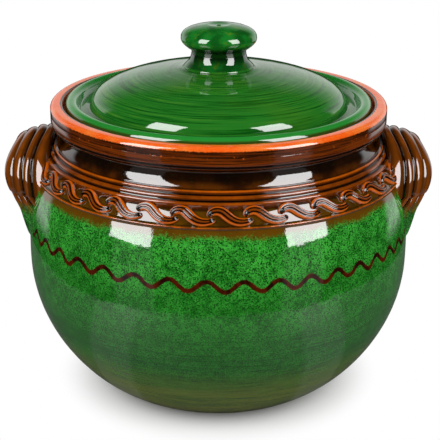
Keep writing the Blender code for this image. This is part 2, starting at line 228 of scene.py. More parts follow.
def read_evenly(rows: tuple, count: int) -> np.ndarray:
    """A smooth line through the rows of shares, read at evenly counted places.

    Args:
        rows: The rows, in order.
        count: How many places are read.

    Returns:
        The rows at those places.
    """
    line = smooth_line(list(rows), SHARE_SPACING)
    picks = np.linspace(0, len(line) - 1, count)
    return np.column_stack([np.interp(picks, range(len(line)), column) for column in line.T])


def distinct(line: np.ndarray) -> np.ndarray:
    """The line without the points that repeat the one before them."""
    steps = np.linalg.norm(np.diff(line, axis=0), axis=1)
    return line[np.concatenate([[True], steps > TINY])]


def arc(centre: Pair, across: float, up: float, start: float, end: float, steps: int) -> list[Pair]:
    """Points on an elliptical arc.

    Args:
        centre: The arc's centre, as a radius and a height.
        across, up: The ellipse's half width and half height.
        start, end: Where the arc starts and ends, in degrees from the outward radius.
        steps: How many parts the arc is divided into.

    Returns:
        The points, as radii and heights.
    """
    turns = [math.radians(start + (end - start) * i / steps) for i in range(steps + 1)]
    return [(centre[0] + across * math.cos(t), centre[1] + up * math.sin(t)) for t in turns]


class Graph:
    """A node tree that is filled by short calls."""

    def __init__(self, tree: bpy.types.NodeTree) -> None:
        """Keeps the tree that the calls fill."""
        self.tree = tree

    def node(self, kind: str, values: dict | None = None, **settings: object) -> bpy.types.Node:
        """Adds a node.

        Args:
            kind: The node's type.
            values: What goes into its sockets, by name or number: a socket to link or a value.
            settings: The node's own properties.

        Returns:
            The new node.
        """
        made = self.tree.nodes.new(kind)
        for name, value in settings.items():
            setattr(made, name, value)
        for name, value in (values or {}).items():
            self.feed(made.inputs[name], value)
        return made

    def feed(self, socket: Socket, value: object) -> None:
        """Links a socket into another, or sets its plain value or its named colour.

        Args:
            socket: The socket that is fed.
            value: A socket to link, a named colour or a plain value.
        """
        if isinstance(value, bpy.types.NodeSocket):
            self.tree.links.new(value, socket)
        else:
            socket.default_value = value.linear() if isinstance(value, Hue) else value

    def math(self, operation: str, *values: object) -> Socket:
        """The result of one sum on one to three values."""
        return self.node("ShaderNodeMath", dict(enumerate(values)), operation=operation).outputs[0]

    def step(self, value: object, low: object, high: object,
             start: float = 0.0, end: float = 1.0) -> Socket:
        """A smooth step from start to end while the value goes from low to high."""
        sockets = {"Value": value, "From Min": low, "From Max": high, "To Min": start, "To Max": end}
        return self.node("ShaderNodeMapRange", sockets, interpolation_type="SMOOTHSTEP").outputs[0]

    def mix(self, share: object, first: object, second: object) -> Socket:
        """A colour between two, which is the second where the share is 1."""
        return self.node("ShaderNodeMix", {0: share, 6: first, 7: second}, data_type="RGBA").outputs[2]

    def tint(self, colour: object, hue: object, mask: object, most: float = 1.0) -> Socket:
        """Lays one colour over another, as strongly as the mask and the most say."""
        share = mask if most == 1.0 else self.math("MULTIPLY", mask, most)
        return self.mix(share, colour, hue)

    def both(self, first: Socket, second: Socket) -> Socket:
        """The product of two masks, which is 1 where both are."""
        return self.math("MULTIPLY", first, second)

    def stray(self, noise: Socket, width: float) -> Socket:
        """Noise from 0 to 1 as an offset of up to half the width to either side."""
        return self.math("MULTIPLY_ADD", noise, width, -width / 2)

    def noise(self, vector: object, scale: object, detail: float = 2.0, rough: float = 0.5) -> Socket:
        """Soft noise from 0 to 1 at the given scale."""
        values = {"Vector": vector, "Scale": scale, "Detail": detail, "Roughness": rough}
        return self.node("ShaderNodeTexNoise", values).outputs[0]

    def vector(self, x: object, y: object, z: object) -> Socket:
        """Three values as one vector."""
        return self.node("ShaderNodeCombineXYZ", {0: x, 1: y, 2: z}).outputs[0]

    def wheel(self, position: object) -> tuple[Socket, Socket, Socket, Socket]:
        """A place on the potter's wheel.

        Args:
            position: The place in the frame.

        Returns:
            The two parts of the direction from the axis, the radius and the height.
        """
        parts = self.node("ShaderNodeSeparateXYZ", {0: position}).outputs
        flat = self.vector(parts[0], parts[1], 0.0)
        radius = self.node("ShaderNodeVectorMath", {0: flat}, operation="LENGTH").outputs["Value"]
        safe = self.math("MAXIMUM", radius, POLE)
        return (
            self.math("DIVIDE", parts[0], safe),
            self.math("DIVIDE", parts[1], safe),
            radius,
            parts[2],
        )


def new_group(kind: str, name: str, takes: dict[str, str], gives: dict[str, str]) -> tuple:
    """A new node group with named sockets.

    Args:
        kind: The type of the tree.
        name: The group's name.
        takes: The inputs, as names and the short names of their types.
        gives: The outputs, in the same way.

    Returns:
        The group's graph, its input sockets by name, and its output node.
    """
    tree = bpy.data.node_groups.new(name, kind)
    for in_out, sockets in (("INPUT", takes), ("OUTPUT", gives)):
        for label, short in sockets.items():
            tree.interface.new_socket(label, in_out=in_out, socket_type="NodeSocket" + short)
    graph = Graph(tree)
    return graph, graph.node("NodeGroupInput").outputs, graph.node("NodeGroupOutput").inputs


class Effects:
    """The shader groups that several glazes share, each built once."""

    def __init__(self) -> None:
        """Builds the groups."""
        self.streaks = self._streaks()
        self.pooled = self._pooled()
        self.sponged = self._sponged()
        self.skin = self._skin()
        self.wave = self._wave()

    @staticmethod
    def use(graph: Graph, group: bpy.types.NodeTree, values: dict) -> bpy.types.NodeOutputs:
        """Places a group in a graph, with its own values.

        Args:
            graph: The graph that the group goes in.
            group: The group's tree.
            values: What goes into its inputs, by name.

        Returns:
            Its outputs.
        """
        made = graph.node("ShaderNodeGroup", node_tree=group)
        for name, value in values.items():
            graph.feed(made.inputs[name], value)
        return made.outputs

    def brush(self, graph: Graph, place: Socket, run: Socket, pitch: float, breaks: float) -> Socket:
        """Streaks of a given pitch along the outline, each broken off a few times on its way round."""
        values = {"Position": place, "Run": run, "Pitch": pitch, "Breaks": breaks}
        return self.use(graph, self.streaks, values)["Streak"]

    def pool(self, graph: Graph, place: Socket, depth: Socket, hues: tuple[Hue, Hue, Hue]) -> Socket:
        """Places a runny glaze.

        Args:
            graph: The material's graph.
            place: The place on the piece.
            depth: How deep each place lies, from -1 on a ridge to 1 in a groove.
            hues: The colours of the ridges, the faces and the grooves.

        Returns:
            The colour.
        """
        ridge, face, groove = hues
        values = {"Pool": depth, "Ridge": ridge, "Face": face, "Groove": groove, "Position": place}
        return self.use(graph, self.pooled, values)["Colour"]

    def sponge(self, graph: Graph, place: Socket, hues: tuple[Hue, Hue, Hue], pores: float) -> Socket:
        """Places a sponged glaze.

        Args:
            graph: The material's graph.
            place: The place on the piece.
            hues: The dark and the light colour, and that of the pores.
            pores: The level of the noise under which a pore opens.

        Returns:
            The colour.
        """
        dark, light, pore = hues
        values = {"Position": place, "Dark": dark, "Light": light, "Pore": pore, "Pores": pores}
        return self.use(graph, self.sponged, values)["Colour"]

    def _streaks(self) -> bpy.types.NodeTree:
        """Streaks that run round the pot, as a brush or a finger leaves them on the wheel.

        Returns:
            The group's tree.
        """
        takes = {"Position": "Vector", "Run": "Float", "Pitch": "Float", "Breaks": "Float"}
        graph, given, result = new_group("ShaderNodeTree", "wheel_streaks", takes, {"Streak": "Float"})
        east, north, _, _ = graph.wheel(given["Position"])
        breaks = given["Breaks"]
        along = graph.math("DIVIDE", given["Run"], given["Pitch"])
        east = graph.math("MULTIPLY", east, breaks)
        north = graph.math("MULTIPLY", north, breaks)
        place = graph.vector(east, north, along)
        graph.feed(result["Streak"], graph.noise(place, 1.0, 3.0, 0.6))
        return graph.tree

    def _pooled(self) -> bpy.types.NodeTree:
        """A runny glaze: thin and light on ridges, thick and dark in grooves.

        Returns:
            The group's tree.
        """
        takes = {"Pool": "Float", "Ridge": "Color", "Face": "Color", "Groove": "Color",
                 "Position": "Vector"}
        graph, given, result = new_group("ShaderNodeTree", "pooled_glaze", takes, {"Colour": "Color"})
        cloud = graph.noise(given["Position"], 90.0, 3.0, 0.55)
        pool = graph.math("ADD", given["Pool"], graph.stray(cloud, 0.5))
        thin = graph.step(pool, -0.80, -0.15, 1.0, 0.0)
        thick = graph.step(pool, 0.10, 0.60)
        lit = graph.mix(thin, given["Face"], given["Ridge"])
        graph.feed(result["Colour"], graph.mix(thick, lit, given["Groove"]))
        return graph.tree

    def _sponged(self) -> bpy.types.NodeTree:
        """A glaze dabbed on with a sponge: a fine grain, soft clouds and nearly black pores.

        Returns:
            The group's tree.
        """
        takes = {"Position": "Vector", "Dark": "Color", "Light": "Color", "Pore": "Color", "Pores": "Float"}
        graph, given, result = new_group("ShaderNodeTree", "sponged_glaze", takes, {"Colour": "Color"})
        place = given["Position"]
        fine = graph.noise(place, 1000.0, 2.0, 0.7)
        dabs = graph.noise(place, 240.0, 2.0, 0.6)
        cloud = graph.noise(place, 60.0, 2.0, 0.5)
        grain = graph.math("MULTIPLY_ADD", fine, 0.52, graph.math("MULTIPLY", dabs, 0.20))
        grain = graph.math("MULTIPLY_ADD", cloud, 0.28, grain)
        colour = graph.mix(graph.step(grain, 0.40, 0.60), given["Dark"], given["Light"])
        holes = graph.noise(place, 1250.0, 1.0, 0.5)
        edge = graph.math("SUBTRACT", given["Pores"], graph.stray(dabs, 0.20))
        pore = graph.step(holes, graph.math("ADD", edge, 0.03), graph.math("SUBTRACT", edge, 0.03))
        graph.feed(result["Colour"], graph.tint(colour, given["Pore"], pore, 0.90))
        return graph.tree

    def _skin(self) -> bpy.types.NodeTree:
        """The fired surface: the slight swell and pinholes of the glaze, and how its gloss varies.

        Returns:
            The group's tree.
        """
        takes = {"Position": "Vector", "Gloss": "Float", "Spread": "Float"}
        gives = {"Height": "Float", "Roughness": "Float"}
        graph, given, result = new_group("ShaderNodeTree", "fired_skin", takes, gives)
        swell = graph.noise(given["Position"], 120.0, 1.0, 0.4)
        peel = graph.noise(given["Position"], 700.0, 2.0, 0.5)
        graph.feed(result["Height"], graph.math("MULTIPLY_ADD", peel, 0.16, swell))
        worn = graph.noise(given["Position"], 45.0, 3.0, 0.6)
        graph.feed(result["Roughness"], graph.math("MULTIPLY_ADD", worn, given["Spread"], given["Gloss"]))
        return graph.tree

    def _wave(self) -> bpy.types.NodeTree:
        """A wavy line painted round the belly by a slow hand, so that its pitch drifts.

        Returns:
            The group's tree.
        """
        takes = {"Position": "Vector", "Count": "Float", "Height": "Float", "Swing": "Float"}
        takes |= {"Lean": "Float", "Width": "Float"}
        gives = {"Line": "Float", "Load": "Float"}
        graph, given, result = new_group("ShaderNodeTree", "painted_wave", takes, gives)
        parts = graph.node("ShaderNodeSeparateXYZ", {0: given["Position"]}).outputs
        angle = graph.math("ARCTAN2", parts[0], graph.math("MULTIPLY", parts[1], -1.0))
        twice = graph.math("MULTIPLY", angle, 2.0)
        drift = graph.math("MULTIPLY", graph.math("SINE", twice), WAVE_DRIFT_SINE)
        drift = graph.math("MULTIPLY_ADD", graph.math("COSINE", twice), WAVE_DRIFT_COSINE, drift)
        turns = graph.math("MULTIPLY", graph.math("DIVIDE", angle, 2 * math.pi), given["Count"])
        waves = graph.math("ADD", graph.math("ADD", turns, WAVE_START), drift)
        phase = graph.math("MULTIPLY", waves, 2 * math.pi)
        hand = graph.math("MULTIPLY_ADD", graph.noise(given["Position"], 55.0, 1.0), 0.7, 0.65)
        rise = graph.math("MULTIPLY", graph.math("COSINE", phase), given["Swing"])
        lean = graph.math("MULTIPLY", graph.math("SINE", angle), given["Lean"])
        middle = graph.math("ADD", graph.math("MULTIPLY_ADD", rise, hand, given["Height"]), lean)
        off = graph.math("ABSOLUTE", graph.math("SUBTRACT", parts[2], middle))
        slope = graph.math("MULTIPLY", graph.math("SINE", phase), WAVE_SLOPE)
        steep = graph.math("SQRT", graph.math("MULTIPLY_ADD", slope, slope, 1.0))
        square = graph.math("DIVIDE", off, steep)
        grain = graph.noise(given["Position"], 900.0, 2.0)
        edge = graph.math("ADD", square, graph.stray(grain, WAVE_FRAY))
        half = graph.math("MULTIPLY", given["Width"], 0.5)
        inner = graph.math("SUBTRACT", half, WAVE_INNER_BLUR)
        outer = graph.math("ADD", half, WAVE_OUTER_BLUR)
        graph.feed(result["Line"], graph.step(edge, inner, outer, 1.0, 0.0))
        patch = graph.noise(given["Position"], 210.0, 2.0, 0.6)
        drag = graph.math("MULTIPLY_ADD", graph.math("COSINE", phase), -0.06, patch)
        graph.feed(result["Load"], graph.step(drag, 0.36, 0.64))
        return graph.tree


@dataclass(frozen=True)
class Glaze:
    """A glossy fired finish. Each kind paints its own colour."""

    name: str
    gloss: float = 0.030
    spread: float = 0.035
    relief: float = 0.00007
    density: float = 1.96
    bare_rough: float = 0.55

    def make(self, effects: Effects) -> bpy.types.Material:
        """Builds the material.

        Args:
            effects: The shared shader groups.

        Returns:
            The finished material.
        """
        material = bpy.data.materials.new(self.name)
        material.use_nodes = True
        graph = Graph(material.node_tree)
        shader = material.node_tree.nodes["Principled BSDF"]
        shader.inputs["IOR"].default_value = self.density
        place = graph.node("ShaderNodeTexCoord").outputs["Object"]
        marks = {}
        for mark in Mark:
            made = graph.node("ShaderNodeAttribute", attribute_name=mark.value)
            marks[mark] = made.outputs["Fac"]
        values = {"Position": place, "Gloss": self.gloss, "Spread": self.spread}
        skin = effects.use(graph, effects.skin, values)
        colour, bare = self.paint(graph, effects, place, marks)
        graph.feed(shader.inputs["Base Color"], colour)
        rough = graph.math("MAXIMUM", skin["Roughness"], graph.math("MULTIPLY", bare, self.bare_rough))
        graph.feed(shader.inputs["Roughness"], rough)
        bump = graph.node("ShaderNodeBump", {"Height": skin["Height"], "Distance": self.relief})
        graph.feed(shader.inputs["Normal"], bump.outputs[0])
        return material

    def paint(self, graph: Graph, effects: Effects, place: Socket, marks: dict) -> tuple:
        """The colour over the surface, and where the clay is bare."""
        raise NotImplementedError


@dataclass(frozen=True)
class PotGlaze(Glaze):
    """The pot: a clay-red rim, brown neck, olive-brown shoulder, sponged green belly, olive foot.

    A span holds the two heights, or radii, between which a colour comes in. Where it has four
    numbers, the last two say how strong the colour starts and ends.
    """

    # The streaks, by their pitch along the outline and by how often they break on their way round
    fine_pitch: float = 0.0009
    fine_breaks: float = 3.2
    slow_pitch: float = 0.0040
    slow_breaks: float = 1.6
    bowl_breaks: float = 1.2
    # The rim's red clay, how far its lower edge frays, and the dark line round its inner edge
    rim_span: tuple = (0.1820, 0.1825)
    rim_fray: float = 0.0022
    rim_strokes: float = 150.0
    inner_radii: tuple = (0.0981, 0.0977)
    inner_fray: float = 0.0010
    # The rim's brown face: its upper band, its dark foot, the amber line in it and its dots
    face_upper_span: tuple = (0.1783, 0.1787)
    face_foot_span: tuple = (0.1738, 0.1732)
    amber_start_span: tuple = (0.1710, 0.1713)
    amber_end_span: tuple = (0.1720, 0.1716)
    dots_start_span: tuple = (0.1774, 0.1782)
    dots_end_span: tuple = (0.1800, 0.1790)
    # The brown zones from the rim's face down to the shoulder
    face_span: tuple = (0.1700, 0.1706)
    # Thick glaze and painted shadow, nearly black towards the top of the cove under the rim
    cove_pool_and_shadow_span: tuple = (0.1604, 0.1644)
    cove_span: tuple = (0.1594, 0.1598)
    ridges_span: tuple = (0.1500, 0.1506)
    band_foot_span: tuple = (0.1412, 0.1400)
    # The ragged edge between the brown and the sponged green
    brown_span: tuple = (0.1320, 0.1404)
    brown_sway: float = 0.0050
    # The belly, from its sponged shoulder to the olive foot
    deep_span: tuple = (0.1250, 0.0950, 0.0, 0.40)
    calm_span: tuple = (0.1100, 0.0650, 0.0, 0.45)
    shade_span: tuple = (0.0950, 0.0550)
    ring_span: tuple = (0.0980, 0.0640)
    olive_span: tuple = (0.0660, 0.0300)
    olive_sway: float = 0.018
    # Painted shade over the olive at the very bottom of the foot
    foot_shade_span: tuple = (0.0120, 0.0030, 0.0, 0.45)
    pores: float = 0.44
    # The painted wave
    wave_height: float = 0.1094
    wave_swing: float = 0.0027
    wave_lean: float = -0.0018
    wave_width: float = 0.0028
    wave_count: float = 43.0
    # Where the clay is bare: the gallery under the lid, and the base
    gallery_radii: tuple = (0.0968, 0.0964)
    gallery_span: tuple = (0.1690, 0.1710)
    base_span: tuple = (0.0012, 0.0004)

    def paint(self, graph: Graph, effects: Effects, place: Socket, marks: dict) -> tuple:
        """Lays the zones from the rim to the foot over one another.

        Args:
            graph: The material's graph.
            effects: The shared shader groups.
            place: The place on the piece.
            marks: The piece's marks, by kind.

        Returns:
            The colour over the surface, and where the clay is bare.
        """
        _, _, radius, height = graph.wheel(place)
        run = marks[Mark.RUN]
        streak = effects.brush(graph, place, run, self.fine_pitch, self.fine_breaks)
        slow = effects.brush(graph, place, run, self.slow_pitch, self.slow_breaks)
        green = self._belly(graph, effects, place, slow, streak)
        brown = self._brown(graph, effects, place, marks, height, streak)
        colour = graph.mix(self._above(graph, place, height), green, brown)
        colour = graph.tint(colour, self._clay(graph, place, radius), self._rim(graph, place, height))
        inside = graph.step(marks[Mark.INSIDE], 0.4, 0.6)
        colour = graph.tint(colour, self._bowl(graph, effects, place, run), inside)
        bare = self._bare(graph, radius, height)
        return graph.tint(colour, Hue.BARE_CLAY, bare), bare

    def _above(self, graph: Graph, place: Socket, height: Socket) -> Socket:
        """1 over the brown glaze, breaking up into dabs where the sponged green starts.

        Args:
            graph: The material's graph.
            place: The place on the piece.
            height: The height above the base.

        Returns:
            The mask.
        """
        broad = graph.noise(place, 70.0, 2.0, 0.5)
        level = graph.math("ADD", height, graph.stray(broad, self.brown_sway))
        rise = graph.step(level, *self.brown_span)
        speck = graph.noise(place, 700.0, 3.0, 0.7)
        dabs = graph.math("ADD", rise, graph.stray(speck, 1.4))
        return graph.step(dabs, 0.12, 0.86)

    def _belly(self, graph: Graph, effects: Effects, place: Socket, slow: Socket, streak: Socket) -> Socket:
        """The sponged green, the painted wave and the olive foot, with painted shade at its very bottom.

        Args:
            graph: The material's graph.
            effects: The shared shader groups.
            place: The place on the piece.
            slow: The slow streaks.
            streak: The fine streaks.

        Returns:
            The colour.
        """
        _, _, _, height = graph.wheel(place)
        hues = (Hue.SPONGE_DARK, Hue.SPONGE_LIGHT, Hue.SPONGE_PORE)
        sponge = effects.sponge(graph, place, hues, self.pores)
        sponge = graph.tint(sponge, Hue.BELLY_DEEP, graph.step(height, *self.deep_span))
        sponge = graph.tint(sponge, Hue.BELLY_CALM, graph.step(height, *self.calm_span))
        band = graph.step(slow, 0.36, 0.62)
        low = graph.step(height, *self.shade_span)
        sponge = graph.tint(sponge, Hue.BELLY_SHADE, graph.both(band, low), 0.40)
        rings = graph.both(graph.step(streak, 0.48, 0.36), graph.step(height, *self.ring_span))
        sponge = graph.tint(sponge, Hue.BELLY_RING, rings, 0.60)
        olive = graph.mix(band, Hue.OLIVE_DARK, Hue.OLIVE_LIGHT)
        olive = graph.tint(olive, Hue.OLIVE_STREAK, graph.step(streak, 0.50, 0.38), 0.5)
        sunk = graph.math("MULTIPLY_ADD", slow, self.olive_sway, height)
        colour = graph.tint(sponge, olive, graph.step(sunk, *self.olive_span), 0.85)
        # Painted shade at the very bottom of the foot, just above the table
        colour = graph.tint(colour, Hue.FOOT_SHADE, graph.step(height, *self.foot_shade_span))
        values = {"Position": place, "Count": self.wave_count, "Height": self.wave_height}
        values |= {"Swing": self.wave_swing, "Lean": self.wave_lean, "Width": self.wave_width}
        wave = effects.use(graph, effects.wave, values)
        slip = graph.mix(wave["Load"], Hue.SLIP_THICK, Hue.SLIP_THIN)
        return graph.tint(colour, slip, wave["Line"])

    def _brown(
        self, graph: Graph, effects: Effects, place: Socket, marks: dict, height: Socket, streak: Socket
    ) -> Socket:
        """The olive-brown shoulder, the amber ridges, the dark cove with painted shadow under the rim, and
        the brown rim face.

        Args:
            graph: The material's graph.
            effects: The shared shader groups.
            place: The place on the piece.
            marks: The piece's marks, by kind.
            height: The height above the base.
            streak: The fine streaks.

        Returns:
            The colour.
        """
        pool = marks[Mark.POOL]
        hues = (Hue.SHOULDER_RIDGE, Hue.SHOULDER_FACE, Hue.SHOULDER_GROOVE)
        shoulder = effects.pool(graph, place, graph.math("MULTIPLY", pool, 2.2), hues)
        mottle = graph.step(graph.noise(place, 75.0, 3.0, 0.6), 0.42, 0.66)
        shoulder = graph.tint(shoulder, Hue.SHOULDER_MOTTLE, mottle, 0.7)
        below = graph.step(height, *self.band_foot_span)
        shoulder = graph.tint(shoulder, Hue.SHOULDER_LOW, below, 0.55)
        ridges = effects.pool(graph, place, pool, (Hue.NECK_RIDGE, Hue.NECK_FACE, Hue.NECK_GROOVE))
        colour = graph.tint(shoulder, ridges, graph.step(height, *self.ridges_span))
        cloud = graph.step(graph.noise(place, 60.0, 3.0, 0.6), 0.40, 0.66)
        cove = graph.mix(cloud, Hue.COVE_DARK, Hue.COVE_LIGHT)
        # Painted shadow under the rim's overhang, over thick glaze, near the top of the cove
        cove = graph.tint(cove, Hue.COVE_POOL_AND_SHADOW, graph.step(height, *self.cove_pool_and_shadow_span), 0.85)
        colour = graph.tint(colour, cove, graph.step(height, *self.cove_span))
        face = self._face(graph, place, height, streak)
        return graph.tint(colour, face, graph.step(height, *self.face_span))

    def _face(self, graph: Graph, place: Socket, height: Socket, streak: Socket) -> Socket:
        """The rim's brown face: two brushed bands, a dark foot and a thin amber line in it.

        Args:
            graph: The material's graph.
            place: The place on the piece.
            height: The height above the base.
            streak: The fine streaks.

        Returns:
            The colour.
        """
        upper = graph.mix(graph.step(streak, 0.40, 0.62), Hue.FACE_DARK, Hue.FACE_LIGHT)
        lower = graph.mix(graph.step(streak, 0.38, 0.60), Hue.FACE_LOW_DARK, Hue.FACE_LOW_LIGHT)
        colour = graph.tint(lower, upper, graph.step(height, *self.face_upper_span))
        colour = graph.tint(colour, Hue.FACE_FOOT, graph.step(height, *self.face_foot_span))
        amber = graph.step(height, *self.amber_start_span)
        amber = graph.both(amber, graph.step(height, *self.amber_end_span))
        colour = graph.tint(colour, Hue.FACE_AMBER, amber)
        dots = graph.step(graph.noise(place, 560.0, 2.0, 0.6), 0.62, 0.72)
        near = graph.step(height, *self.dots_start_span)
        near = graph.both(near, graph.step(height, *self.dots_end_span))
        return graph.tint(colour, Hue.FACE_DOTS, graph.both(dots, near))

    def _rim(self, graph: Graph, place: Socket, height: Socket) -> Socket:
        """1 over the clay-red rim. The brown ends below it in short upright brush marks.

        Args:
            graph: The material's graph.
            place: The place on the piece.
            height: The height above the base.

        Returns:
            The mask.
        """
        east, north, _, _ = graph.wheel(place)
        east = graph.math("MULTIPLY", east, self.rim_strokes)
        north = graph.math("MULTIPLY", north, self.rim_strokes)
        strokes = graph.noise(graph.vector(east, north, 0.0), 1.0, 3.0, 0.7)
        level = graph.math("ADD", height, graph.stray(strokes, self.rim_fray))
        return graph.step(level, *self.rim_span)

    def _clay(self, graph: Graph, place: Socket, radius: Socket) -> Socket:
        """The clay seen through a clear glaze, with a dark line round the inner edge.

        Args:
            graph: The material's graph.
            place: The place on the piece.
            radius: The distance from the axis.

        Returns:
            The colour.
        """
        grain = graph.noise(place, 1300.0, 3.0, 0.75)
        cloud = graph.noise(place, 80.0, 3.0, 0.6)
        clay = graph.mix(graph.step(cloud, 0.35, 0.68), Hue.RIM_DARK, Hue.RIM_LIGHT)
        clay = graph.tint(clay, Hue.RIM_PALE_GRAIN, graph.step(grain, 0.58, 0.72))
        clay = graph.tint(clay, Hue.RIM_RED_GRAIN, graph.step(grain, 0.42, 0.30))
        ragged = graph.stray(graph.noise(place, 260.0, 2.0, 0.6), self.inner_fray)
        edge = graph.math("ADD", radius, ragged)
        return graph.tint(clay, Hue.RIM_INNER_LINE, graph.step(edge, *self.inner_radii))

    def _bowl(self, graph: Graph, effects: Effects, place: Socket, run: Socket) -> Socket:
        """The clear honey glaze inside the pot."""
        ring = effects.brush(graph, place, run, self.slow_pitch, self.bowl_breaks)
        return graph.mix(graph.step(ring, 0.35, 0.65), Hue.HONEY_DARK, Hue.HONEY_LIGHT)

    def _bare(self, graph: Graph, radius: Socket, height: Socket) -> Socket:
        """1 where the clay is bare: on the gallery that carries the lid, and under the foot.

        Args:
            graph: The material's graph.
            radius: The distance from the axis.
            height: The height above the base.

        Returns:
            The mask.
        """
        within = graph.step(radius, *self.gallery_radii)
        gallery = graph.both(within, graph.step(height, *self.gallery_span))
        return graph.math("MAXIMUM", gallery, graph.step(height, *self.base_span))


@dataclass(frozen=True)
class ScrollGlaze(Glaze):
    """The scrolls: brown, amber along both edges and nearly black in the grooves."""

    hues: tuple = (Hue.SCROLL_RIDGE, Hue.SCROLL_FACE, Hue.SCROLL_GROOVE)

    def paint(self, graph: Graph, effects: Effects, place: Socket, marks: dict) -> tuple:
        """Lays on one pooled glaze, and leaves no clay bare."""
        return effects.pool(graph, place, marks[Mark.POOL], self.hues), 0.0


@dataclass(frozen=True)
class HandleGlaze(Glaze):
    """The handles: brown, amber along the crests of the ribs, and sponged green at the tails."""

    hues: tuple = (Hue.HANDLE_RIDGE, Hue.HANDLE_FACE, Hue.HANDLE_GROOVE)
    tail_hues: tuple = (Hue.TAIL_DARK, Hue.TAIL_LIGHT, Hue.TAIL_PORE)
    tail_pores: float = 0.45
    tail_span: tuple = (0.1180, 0.1270)
    tail_sway: float = 0.014

    def paint(self, graph: Graph, effects: Effects, place: Socket, marks: dict) -> tuple:
        """Lays a pooled glaze over a sponged one, and leaves no clay bare.

        Args:
            graph: The material's graph.
            effects: The shared shader groups.
            place: The place on the piece.
            marks: The piece's marks, by kind.

        Returns:
            The colour over the surface, and where the clay is bare.
        """
        brown = effects.pool(graph, place, marks[Mark.POOL], self.hues)
        green = effects.sponge(graph, place, self.tail_hues, self.tail_pores)
        _, _, _, height = graph.wheel(place)
        ragged = graph.stray(graph.noise(place, 200.0, 3.0, 0.7), self.tail_sway)
        level = graph.math("ADD", height, ragged)
        return graph.tint(green, brown, graph.step(level, *self.tail_span)), 0.0


@dataclass(frozen=True)
class LidGlaze(Glaze):
    """The lid and the knob: leaf green over throwing rings, with olive spots where it is thin.

    Spans and radii are the two heights or radii between which a colour comes in, as on the pot.
    """

    ring_pitch: float = 0.0013
    ring_breaks: float = 1.4
    broad_pitch: float = 0.0052
    broad_breaks: float = 1.5
    seat_span: tuple = (0.1790, 0.1786)
    knob_span: tuple = (0.2053, 0.2069)
    # Painted shade on the stem right under the ball, where it turns nearly black
    waist_shade_start_span: tuple = (0.2080, 0.2135, 0.45, 1.0)
    waist_shade_end_span: tuple = (0.2212, 0.2184)
    roll_radii: tuple = (0.0800, 0.0880)
    lip_radii: tuple = (0.0932, 0.0944)
    lip_span: tuple = (0.1858, 0.1846)

    def paint(self, graph: Graph, effects: Effects, place: Socket, marks: dict) -> tuple:
        """Lays on rings over the dome, a brighter roll and a spotted knob, over a bare seat.

        Args:
            graph: The material's graph.
            effects: The shared shader groups.
            place: The place on the piece.
            marks: The piece's marks, by kind.

        Returns:
            The colour over the surface, and where the clay is bare.
        """
        _, _, radius, height = graph.wheel(place)
        colour = self._dome(graph, effects, place, marks[Mark.RUN])
        colour = graph.tint(colour, self._knob(graph, place, height), graph.step(height, *self.knob_span))
        colour = graph.tint(colour, Hue.ROLL, graph.step(radius, *self.roll_radii))
        lip = graph.both(graph.step(radius, *self.lip_radii), graph.step(height, *self.lip_span))
        colour = graph.tint(colour, Hue.ROLL_LIP, lip, 0.85)
        colour = graph.tint(colour, Hue.LEAF_POOL, graph.step(marks[Mark.POOL], 0.08, 0.50), 0.85)
        bare = graph.step(height, *self.seat_span)
        return graph.tint(colour, Hue.BARE_CLAY, bare), bare

    def _dome(self, graph: Graph, effects: Effects, place: Socket, run: Socket) -> Socket:
        """Dark and light rings on leaf green, with olive clouds.

        Args:
            graph: The material's graph.
            effects: The shared shader groups.
            place: The place on the piece.
            run: How far along the outline the place is.

        Returns:
            The colour.
        """
        ring = effects.brush(graph, place, run, self.ring_pitch, self.ring_breaks)
        broad = effects.brush(graph, place, run, self.broad_pitch, self.broad_breaks)
        colour = graph.mix(graph.step(ring, 0.52, 0.34), Hue.LEAF, Hue.LEAF_RING)
        light = graph.both(graph.step(ring, 0.52, 0.66), graph.step(broad, 0.36, 0.58))
        colour = graph.tint(colour, Hue.LEAF_LIGHT, light, 0.65)
        thin = graph.step(graph.noise(place, 26.0, 2.0, 0.5), 0.50, 0.68)
        return graph.tint(colour, Hue.LEAF_OLIVE, thin, 0.26)

    def _knob(self, graph: Graph, place: Socket, height: Socket) -> Socket:
        """The knob's spots and clouds, and painted shade that makes the stem nearly black right under the
        ball.

        Args:
            graph: The material's graph.
            place: The place on the piece.
            height: The height above the base.

        Returns:
            The colour.
        """
        spots = graph.step(graph.noise(place, 210.0, 3.0, 0.7), 0.52, 0.70)
        colour = graph.tint(Hue.KNOB, Hue.KNOB_SPOT, spots, 0.7)
        cloud = graph.step(graph.noise(place, 110.0, 2.0, 0.5), 0.60, 0.36)
        colour = graph.tint(colour, Hue.KNOB_CLOUD, cloud, 0.8)
        # Painted shade under the ball
        under_ball_shade = graph.step(height, *self.waist_shade_end_span)
        under_ball_shade = graph.both(under_ball_shade, graph.step(height, *self.waist_shade_start_span))
        return graph.tint(colour, Hue.KNOB_WAIST_SHADE, under_ball_shade, 0.95)


